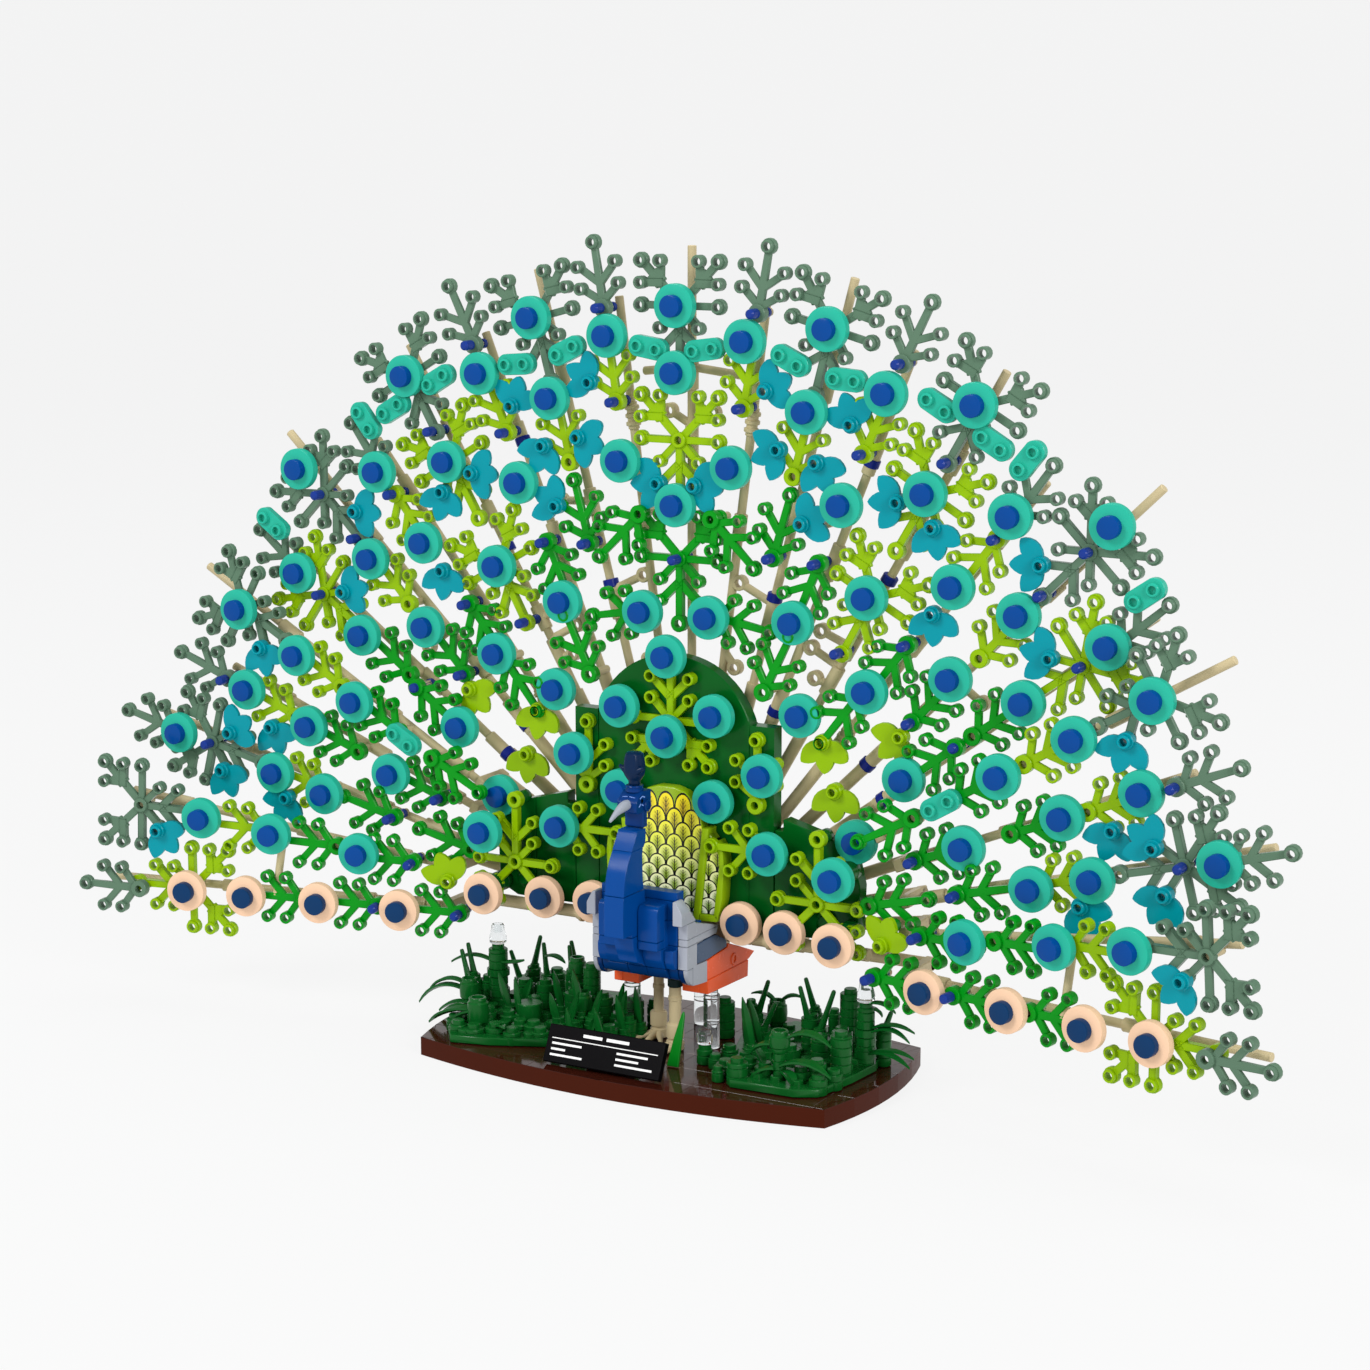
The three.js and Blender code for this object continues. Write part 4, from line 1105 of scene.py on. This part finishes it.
# ---- Pins ----
# Short blue pins go through the foot of a leaf into the sleeve on the bar.
PINS = {
    "long_0": [(142, 0)], "short_1": [(234.3, 1.8), (199.9, 0.5)], "long_1": [(150.1, -0.3)],
    "short_2": [(234, 1), (198.7, -0.4), (155.1, -1.4)], "long_2": [(212, 0.6), (131, 0.7)],
    "short_3": [(201.8, 0.9), (149.7, -0.6)], "long_3": [(223, 0.2), (200, 0.2), (130.7, 1.4)],
    "short_4": [(197.1, 0.5), (141.3, -0.3)], "short_5": [(213.7, 1.6), (108.7, -0.6)],
    "long_5": [(210.2, 0.1), (123.4, -1.2)], "short_6": [(107.5, -1.3)], "long_6": [(120.7, 0), (86.3, 0)],
}
pin = turned([(0, -15), (1.9, -15), (1.9, -13.2), (1.5, -13), (1.5, -6.2), (1.9, -6), (1.9, -2.4),
              (1.75, -1.6), (1.1, -1.0), (0, -0.9)], 16)
PIN = as_mesh("pin", placed(pin, rolled(90, "X")))
pin_blue = moulded("pin_blue", (26, 52, 130), 0.18)
place_set("leaf_pins", PIN, ray_places(PINS), pin_blue)

# ---- Green panels ----
# Dark green walls behind the bird: an arch with a round top, and a lower wing
# on each side, laid with smooth tiles.
PANEL_FRONT = 3
PANEL_BACK = 9
ARCH_RADIUS = 34
ARCH_MIDDLE = 120


def mirrored(points):
    """A half outline and its mirror image, all the way round."""
    return points + [(-x, z) for x, z in reversed(points)]


arch_outline = [(42, 56), (42, 130.8), (32.2, 130.8)]
for degrees in range(23, 90, 6):
    turn = math.radians(degrees)
    arch_outline.append((ARCH_RADIUS * math.cos(turn), ARCH_MIDDLE + ARCH_RADIUS * math.sin(turn)))
panel_green = moulded("panel_green", (2, 84, 24), 0.2)
arch = courses(mirrored(arch_outline), PANEL_FRONT, PANEL_BACK, "Y", (-32, 32), 0.3, across="X")
shape_done(arch, "arch_panel", [panel_green], ["panel_arch"])
SIDE_OUTLINE = [
    (42.4, 54.5), (68.5, 54.5), (76.3, 58.5), (77, 76), (74.5, 86), (67, 91.9), (45.8, 97.5), (45.8, 93),
    (42.4, 93),
]
STANDS = [
    (64, 94, -3.4, 2.6), (64, 70, -3.4, 2.6), (44, 86.3, -2.3, 3.9), (73.9, 82, -11, 3.9),
    (31.6, 57.9, -1, 3.9), (51, 57.9, -4, 3.9), (74.1, 60, -11, 3.9), (64, 62, 0, 3.9),
]
for name, side in SIDES:
    outline = [(side * x, z) for x, z in SIDE_OUTLINE]
    wall = courses(outline, PANEL_FRONT, PANEL_BACK, "Y", (side * 60,), 0.3, across="X")
    for x, z, front, radius in STANDS:
        stand = round_stack(0, 0, 0, PANEL_FRONT - front - 1.7, radius)
        place = moved(side * x, PANEL_FRONT, z) @ rolled(90, "X")
        add_shape(wall, placed(stand, place))
    shape_done(wall, f"side_panel_{name}", [panel_green], [f"panel_{name}"])

# ---- Leaves and eyes of the panels ----
# Lime leaf plates are pressed on the green walls. Teal eyes sit on their rings,
# and a row of pale eyes on a tan bar runs along the foot of the walls.
# Each leaf: shape, side, height, turn, and the depth of its plate's face.
PANEL_LEAVES = [
    ("star", 0, 130, 180, 1), ("small", 35.7, 102, 0, 1), ("small", 44, 86, -90, -4.4),
    ("star", 64, 70, 180, -5.3),
]


def both_sides(x):
    """A shape in the middle stands alone, the others are in pairs."""
    return (1, -1) if x else (1,)


panel_leaves = bmesh.new()
for shape, x, z, turn, front in PANEL_LEAVES:
    for side in both_sides(x):
        place = moved(side * x, front - LEAF_FRONT, z) @ rolled(side * turn, "Y")
        add_copy(panel_leaves, LEAF_SHAPES[shape], place)
shape_done(panel_leaves, "panel_leaves", [lime_plastic])
# Each eye: its side, its height, and the depth of its face.
PANEL_EYES = [
    (0, 124.5, -7), (0, 154.3, -7), (19.9, 134, -6.9), (39.8, 114, -6.9), (19.6, 102.1, -6.7),
    (44, 86.3, -10.7), (75.5, 92.8, -2), (73.9, 82, -17.4),
]
ROW_EYES = [(31.6, 57.9, -7.3), (51, 57.9, -10.4), (74.1, 57.9, -17.3)]


def wall_places(eyes):
    return [moved(side * x, front, z) for x, z, front in eyes for side in both_sides(x)]


place_set("panel_eye_plates", EYE_PLATE, wall_places(PANEL_EYES), eye_teal)
place_set("panel_eye_tiles", EYE_TILE, wall_places(PANEL_EYES), eye_blue)
place_set("row_eye_plates", EYE_PLATE, wall_places(ROW_EYES), eye_peach,
          ["row_left", "row_right"])
place_set("row_eye_tiles", EYE_TILE, wall_places(ROW_EYES), eye_navy)
row_bars = bmesh.new()
for side in (1, -1):
    add_shape(row_bars, rod_between((side * 24, 1, 52), (side * 82, 1, 52), 2.4))
    place = moved(side * 40, 1, 52) @ rolled(90, "Y")
    add_shape(row_bars, placed(ribbed_sleeve(10, 2.8), place))
shape_done(row_bars, "row_bars", [tan_plastic])

# ---- Back of the bird ----
# A tall rounded plate printed with overlapping scales, yellow at the top and
# pale green below. An olive frame on each side holds a narrower printed strip.
# Sizes of the print, in metres: one scale across, the foot of the print, and
# how far up its rows go. The rows stand closer together towards the foot.
SCALE_WIDTH = 0.0072
PRINT_FOOT = 0.057
PRINT_TOP = 0.108
PRINT_HEIGHT = 0.0488
ROWS = (16.8, -4.6)
TOP_ROW = 11.4
# How tall the round top of a scale is in rows, where its black edge starts,
# and how much lower the last scale is in each column away from the middle.
SCALE_TOP = 0.93
EDGE_START = 0.855
TOP_BOW = 0.28
# Colours up the plate: the rim of a scale and its heart.
RIM_COLOURS = [(0, (250, 252, 240)), (0.3, (244, 248, 186)), (0.55, (226, 234, 84)), (0.8, (236, 222, 26)),
               (1, (236, 210, 20))]
HEART_COLOURS = [(0, (120, 160, 70)), (0.3, (136, 168, 36)), (0.55, (156, 170, 20)), (0.8, (182, 156, 30)),
                 (1, (166, 116, 44))]
INK = (12, 14, 4)
BARE_OLIVE = (138, 168, 16)


def scale_print(name):
    """Rows of round-topped scales. Each row hides the foot of the row above."""
    material, tree, shader = new_material(name, {})
    where = tree.nodes.new("ShaderNodeTexCoord").outputs["Object"]
    split = add_node(tree, "SeparateXYZ", {}, [("Vector", where)])

    def number(kind, first, second=0.0):
        node = tree.nodes.new("ShaderNodeMath")
        node.operation = kind
        for slot, value in enumerate((first, second)):
            if isinstance(value, (int, float)):
                node.inputs[slot].default_value = value
            else:
                tree.links.new(value, node.inputs[slot])
        return node.outputs["Value"]

    def plus(first, second):
        return number("ADD", first, second)

    def minus(first, second):
        return number("SUBTRACT", first, second)

    def times(first, second):
        return number("MULTIPLY", first, second)

    def squared(value):
        return number("POWER", value, 2.0)

    def below(value, limit):
        return number("LESS_THAN", value, limit)

    across = number("DIVIDE", split.outputs["X"], SCALE_WIDTH)
    up = number("DIVIDE", minus(split.outputs["Z"], PRINT_FOOT), PRINT_HEIGHT)
    level = plus(times(up, ROWS[0]), times(squared(up), ROWS[1]))
    row = number("FLOOR", level)
    above = minus(level, row)
    odd = times(number("FLOORED_MODULO", row, 2.0), 0.5)

    def from_middle(side_step):
        """How far to the side a place is from the middle of a scale, and where
        that middle is."""
        place = plus(plus(across, odd), side_step)
        middle = minus(plus(number("FLOOR", place), 0.5 - side_step), odd)
        return number("ABSOLUTE", minus(number("FRACT", place), 0.5)), middle

    def chosen(own, high):
        return plus(times(own, in_own), times(high, minus(1.0, in_own)))

    # A place is on a scale of its own row where the round top reaches it, and
    # otherwise on the body of a scale of the row above, which stands behind.
    (side_own, middle_own), (side_high, middle_high) = from_middle(0.0), from_middle(0.5)
    far_up = number("DIVIDE", above, SCALE_TOP)
    far_own = number("SQRT", plus(squared(times(side_own, 2.0)), squared(far_up)))
    in_own = below(far_own, 1.0)
    side = chosen(side_own, side_high)
    far = chosen(far_own, times(side_high, 2.0))
    rise = chosen(above, minus(above, 1.0))
    edge = number("GREATER_THAN", far, EDGE_START)
    # A thin vein up the middle, with barbs that slant up from it.
    vein = times(below(side, 0.024), below(far, 0.6))
    slant = number("ABSOLUTE", minus(number("FRACT", times(minus(rise, times(side, 2.0)), 3.2)), 0.5))
    barbs = times(times(below(slant, 0.13), below(side, 0.17)), below(far, 0.6))
    vein = number("MAXIMUM", vein, times(barbs, 0.72))
    # Only whole scales are printed. Past the last ones the plate is plain olive.
    scale_row = plus(row, minus(1.0, in_own))
    bow = times(squared(chosen(middle_own, middle_high)), TOP_BOW)
    plain = number("GREATER_THAN", plus(scale_row, bow), TOP_ROW)
    height = add_node(tree, "MapRange", {"From Min": PRINT_FOOT, "From Max": PRINT_TOP},
                      [("Value", split.outputs["Z"])])

    def ramp(stops):
        """Colours that change with the height on the plate."""
        node = add_node(tree, "ValToRGB", {}, [("Fac", height.outputs["Result"])])
        while len(node.color_ramp.elements) < len(stops):
            node.color_ramp.elements.new(0.5)
        for element, (place, colour) in zip(node.color_ramp.elements, stops):
            element.position = place
            element.color = (*linear(colour), 1)
        return node.outputs["Color"]

    def blend(factor, first, second):
        """The first colour where the factor is 0, and the second where it is 1."""
        node = tree.nodes.new("ShaderNodeMix")
        node.data_type = "RGBA"
        tree.links.new(factor, node.inputs["Factor"])
        for slot, value in (("A", first), ("B", second)):
            if isinstance(value, tuple):
                node.inputs[slot].default_value = (*linear(value), 1)
            else:
                tree.links.new(value, node.inputs[slot])
        return node.outputs["Result"]

    fade = add_node(tree, "MapRange", {"From Min": 0.1, "From Max": 0.72}, [("Value", far)])
    paint = blend(vein, blend(fade.outputs["Result"], ramp(HEART_COLOURS), ramp(RIM_COLOURS)), INK)
    colour = blend(plain, blend(edge, paint, INK), BARE_OLIVE)
    tree.links.new(colour, shader.inputs["Base Color"])
    wear = add_node(tree, "TexNoise", {"Scale": 420}, [("Vector", where)])
    gloss = add_node(tree, "MapRange", {"To Min": 0.2, "To Max": 0.34}, [("Value", wear.outputs["Fac"])])
    tree.links.new(gloss.outputs["Result"], shader.inputs["Roughness"])
    raised = add_node(tree, "Bump", {"Strength": 0.2, "Distance": 0.00003}, [("Height", edge)])
    tree.links.new(raised.outputs["Normal"], shader.inputs["Normal"])
    return material


BACK_FRONT = -2.3
frame_olive = moulded("frame_olive", (138, 172, 14), 0.22)
printed_scales = scale_print("printed_scales")
back_half = [(11.6, 57), (15.4, 91), (14.6, 96), (12, 100.9), (8, 104.4), (3.5, 105.8)]
scales = eased(prism(mirrored(back_half), BACK_FRONT, PANEL_FRONT - 0.1, "Y"), 0.7, 3, 40)
for face in scales.faces:
    middle = face.calc_center_median()
    face.material_index = 0 if face.normal.y < -0.95 else 1
shape_done(scales, "scale_plate", [printed_scales, frame_olive], ["back_scales"])
# The three bars of a frame, and the printed strip inside them.
FRAME_BARS = [
    [(11.9, 57), (14.4, 57), (18.6, 92), (15.8, 92)],
    [(14.5, 56.8), (22.1, 57.2), (22.4, 59.6), (14.8, 59.4)],
    [(22.2, 57.2), (24.2, 66), (25, 78.4), (24.4, 84), (22, 88), (20.8, 86.5), (22.6, 82.6), (22.9, 78.4),
     (20.6, 59.6)],
]
STRIP = [(14.9, 59.5), (20.7, 59.7), (23, 78), (22.5, 83), (20.6, 87), (18.2, 90)]
for name, side in SIDES:
    def back_plate(outline, front, ease, segments=1):
        """A plate on this side that lies against the green wall."""
        sided = [(side * x, z) for x, z in outline]
        return eased(prism(sided, front, PANEL_FRONT - 0.1, "Y"), ease, segments)

    olive_frame = bmesh.new()
    for bar in FRAME_BARS:
        add_shape(olive_frame, back_plate(bar, BACK_FRONT - 1.2, 0.35, 2))
    shape_done(olive_frame, f"olive_frame_{name}", [frame_olive], [f"back_frame_{name}"])
    shape_done(back_plate(STRIP, BACK_FRONT, 0.2), f"scale_strip_{name}", [printed_scales])

# ---- Neck ----
# Curved blue slopes one stud wide, stacked from the breast to the head.
NECK_HALF = 4
NECK_TOP = 95
neck_front = smooth_line([(-30, NECK_TOP), (-32, 91.6), (-34.2, 88.5), (-36.8, 84.8), (-38.8, 80.5),
                          (-39.8, 76), (-40.3, 71), (-40.6, 64), (-40.5, 57.5)], 3)
neck_back = smooth_line([(-24.9, 72), (-25.8, 74), (-26.3, 80), (-26.3, 87), (-24.4, 90.5),
                         (-24.2, NECK_TOP)], 3)
neck = courses([(-34.1, 56.3), (-24.95, 56.3), *neck_back, *neck_front, (-34.1, 57.4)],
               -NECK_HALF, NECK_HALF, "X", (72.5, 88.3), 0.3)
shape_done(neck, "neck_slopes", [body_blue], ["neck"])

# ---- Head ----
# A dark blue head of one stud on a small bracket, with a sloping brow and a
# round rim. It has printed lines, a grey curved beak and a bud-shaped crest.
head = courses([(-25.8, 95.3), (-22.6, 95.3), (-22.6, 101.6), (-25.8, 101.6)], -3.9, 3.9, "X", ease=0.4)
brow = smooth_line([(-26.5, 108.9), (-28.4, 107.8), (-30, 106.6), (-30.9, 105.4)], 3)
chin = smooth_line([(-30.9, 102.6), (-30.5, 101.8), (-29.4, 101.1)], 3)
add_shape(head, courses([(-22.7, 101.1), (-20.2, 101.8), (-20.2, 108.9), *brow, *chin],
                        -NECK_HALF, NECK_HALF, "X", ease=0.35))
HEAD_MIDDLE = -25.2
rim = [(0, 0), (3.3, 0), (3.3, 0.9), (3.0, 1.2), (3.0, 1.5), (3.3, 1.8), (3.1, 2.2), (0, 2.3)]
add_shape(head, turned(rim, 30, 0, HEAD_MIDDLE, 108.7))
CHEEK_STUD = [(0, 0), (2.2, 0), (2.2, 0.7), (2.0, 0.9), (1.4, 0.9), (1.4, 0.5), (0, 0.5)]
for side in (1, -1):
    stud = turned(CHEEK_STUD, 20)
    add_shape(head, placed(stud, moved(side * 3.95, -23.6, 103.4) @ rolled(90 * side, "Y")))
deep_blue = moulded("deep_blue", (6, 50, 112), 0.2)
shape_done(head, "head_bricks", [deep_blue], ["head"])
eye_lines = bmesh.new()
eye_dots = bmesh.new()
# Short printed lines above and below the eye on each cheek and above the beak.
CHEEK_LINES = [(-27.4, 107, 24), (-25.6, 107, -20), (-28.3, 104.2, 40), (-26.2, 104, -24)]
for side in (1, -1):
    for y, z, turn in CHEEK_LINES:
        dash = block((-0.1, -0.9, -0.22), (0.1, 0.9, 0.22), 0.05)
        add_shape(eye_lines, placed(dash, moved(side * NECK_HALF, y, z) @ rolled(turn, "X")))
    dash = block((-1.3, -0.1, -0.2), (1.3, 0.1, 0.2), 0.05)
    place = moved(side * 1.7, -29.4, 107.15) @ rolled(38, "X") @ rolled(14 * side, "Y")
    add_shape(eye_lines, placed(dash, place))
    dot = turned([(0, 0), (0.75, 0), (0.7, 0.15), (0, 0.2)], 16)
    add_shape(eye_dots, placed(dot, moved(side * NECK_HALF, -26.7, 105.6) @ rolled(90 * side, "Y")))
cheek_ink = moulded("cheek_ink", (128, 162, 232), 0.4)
shape_done(eye_lines, "eye_lines", [cheek_ink])
shape_done(eye_dots, "eye_dots", [black_plastic])
BEAK_LINE = smooth_line([(-30.2, 104.6), (-33, 104.4), (-36.5, 103.6), (-39.8, 102.3), (-42.6, 100.9)], 4)
beak = bmesh.new()
last = None
for i, (y, z) in enumerate(BEAK_LINE):
    along = i / (len(BEAK_LINE) - 1)
    radius = (1.75 + 0.35 * math.sin(math.pi * min(1, along * 1.6))) * (1 - along ** 1.5) + 0.5 * along ** 1.5
    hoop = bmesh.ops.create_circle(beak, segments=16, radius=radius,
                                   matrix=moved(0, y, z) @ rolled(90 + 28 * along, "X"))
    loop = list({edge for vert in hoop["verts"] for edge in vert.link_edges})
    if last:
        bmesh.ops.bridge_loops(beak, edges=last + loop)
    last = loop
bmesh.ops.holes_fill(beak, edges=[edge for edge in beak.edges if edge.is_boundary], sides=0)
beak_grey = moulded("beak_grey", (156, 160, 172), 0.3)
shape_done(outwards(beak), "beak_horn", [beak_grey], ["beak"])
CREST = [
    (0, 0), (2.0, 0), (2.2, 0.4), (2.2, 1.2), (2.9, 2.2), (3.8, 3.6), (4.1, 5.2), (4.1, 6.8), (3.9, 8.4),
    (3.7, 9.8), (3.3, 11.2), (2.4, 11.9), (0, 12.1),
]
crest = turned(CREST, 30, 0, HEAD_MIDDLE, 111.2)
for vert in crest.verts:
    way = math.atan2(vert.co.y - HEAD_MIDDLE, vert.co.x)
    rise = max(0, min(1, (vert.co.z - 113.5) / 3))
    swell = 1 + 0.055 * rise * math.cos(6 * way)
    vert.co.x *= swell
    vert.co.y = HEAD_MIDDLE + (vert.co.y - HEAD_MIDDLE) * swell
for side in (1, -1):
    lobe = bmesh.new()
    bmesh.ops.create_cone(lobe, cap_ends=True, segments=10, radius1=1.5, radius2=0.6, depth=3.4,
                          matrix=moved(side * 3.6, HEAD_MIDDLE - 2.05, 117.2) @ rolled(60 * side, "Y"))
    add_shape(crest, eased(lobe, 0.3, 2))
crest_navy = moulded("crest_navy", (8, 32, 64), 0.2)
shape_done(crest, "crest_bud", [crest_navy], ["crest"])

# ---- Wings ----
# A light grey shoulder with a wedge on top and a short arm, a dark slate panel
# under the arm, and orange bricks for the flight feathers below.
WING_IN = BODY_HALF + 0.3
WING_OUT = 20
SHOULDER = [
    (-22, 60.4), (-22, 43.2), (-17.5, 43.2), (-17.5, 36.4), (-13, 35.8), (-6.9, 35.3), (-6.9, 43.3),
    (-14.6, 43.6), (-14.6, 51.6), (0.2, 52), (1.8, 54.9), (-15.7, 59.8), (-15.9, 60.4),
]
ELBOW = smooth_line([(-22, 43), (-21.6, 41), (-20.6, 39), (-19.4, 37.5), (-17.7, 36.5)], 3) + [(-17.7, 43)]
SLATE = [(-14.3, 43.9), (-6.9, 43.6), (8.2, 44.9), (8, 47.7), (-0.1, 51.6), (-14.3, 51.2)]
ORANGE = [
    (-6.5, 30.2), (25, 29.1), (25.4, 35.6), (30.4, 37.7), (18.5, 42.5), (9.4, 45.9), (8.6, 44.5),
    (-6.5, 43.2),
]
# Corners of the wedge: depth, height and how far it reaches from inside to out.
WEDGE = [
    (-26.2, 60.5, 1), (-15.7, 60.5, 1), (-26.2, 65, 1), (-20, 65, 1), (-15.9, 61.3, 1), (-26.2, 69.4, 0.34),
    (-20.7, 69.4, 0.34),
]
wing_grey = moulded("wing_grey", (160, 164, 174), 0.24)
wing_slate = moulded("wing_slate", (66, 84, 110), 0.24)
wing_orange = moulded("wing_orange", (236, 92, 44), 0.24)
SOCKET = [(1.4, 0.05), (1.4, 0.4), (2.2, 0.4), (2.4, 0.1), (2.4, -0.4), (0, -0.4), (0, 0.05)]
elbows = bmesh.new()
for name, side in SIDES:
    def across(near, far):
        """Two places across this side, the lower one first."""
        return sorted((side * near, side * far))

    shoulder = courses(SHOULDER, *across(WING_IN, WING_OUT), "X", (51.8, 54.5), 0.25)
    add_shape(shoulder, courses(ELBOW, *across(18.2, WING_OUT), "X", ease=0.2))
    wedge = bmesh.new()
    for y, z, reach in WEDGE:
        for x in (WING_IN, WING_IN + (WING_OUT - WING_IN) * reach):
            wedge.verts.new((side * x, y, z))
    bmesh.ops.convex_hull(wedge, input=wedge.verts)
    outwards(wedge)
    bmesh.ops.dissolve_limit(wedge, angle_limit=math.radians(2), verts=wedge.verts, edges=wedge.edges)
    add_shape(shoulder, eased(wedge, 0.2))
    shape_done(shoulder, f"wing_shoulder_{name}", [wing_grey], [f"wing_{name}_shoulder"])
    add_shape(elbows, courses(ELBOW, *across(WING_IN, 18.1), "X", ease=0.2))
    slate = courses(SLATE, *across(WING_IN, WING_OUT), "X")
    shape_done(slate, f"wing_slate_{name}", [wing_slate], [f"wing_{name}_panel"])
    orange = courses(ORANGE, *across(WING_IN, WING_OUT), "X", (35.6,), 0.25)
    under = across(9.2, WING_IN + 0.1)
    add_shape(orange, block((under[0], -6.5, 30.2), (under[1], 24.5, 38.1)))
    add_shape(orange, placed(turned(SOCKET, 20), moved(side * WING_OUT, 13.6, 38.8) @ rolled(90 * side, "Y")))
    shape_done(orange, f"wing_orange_{name}", [wing_orange], [f"wing_{name}_primaries"])
shape_done(elbows, "wing_elbows", [head_navy])
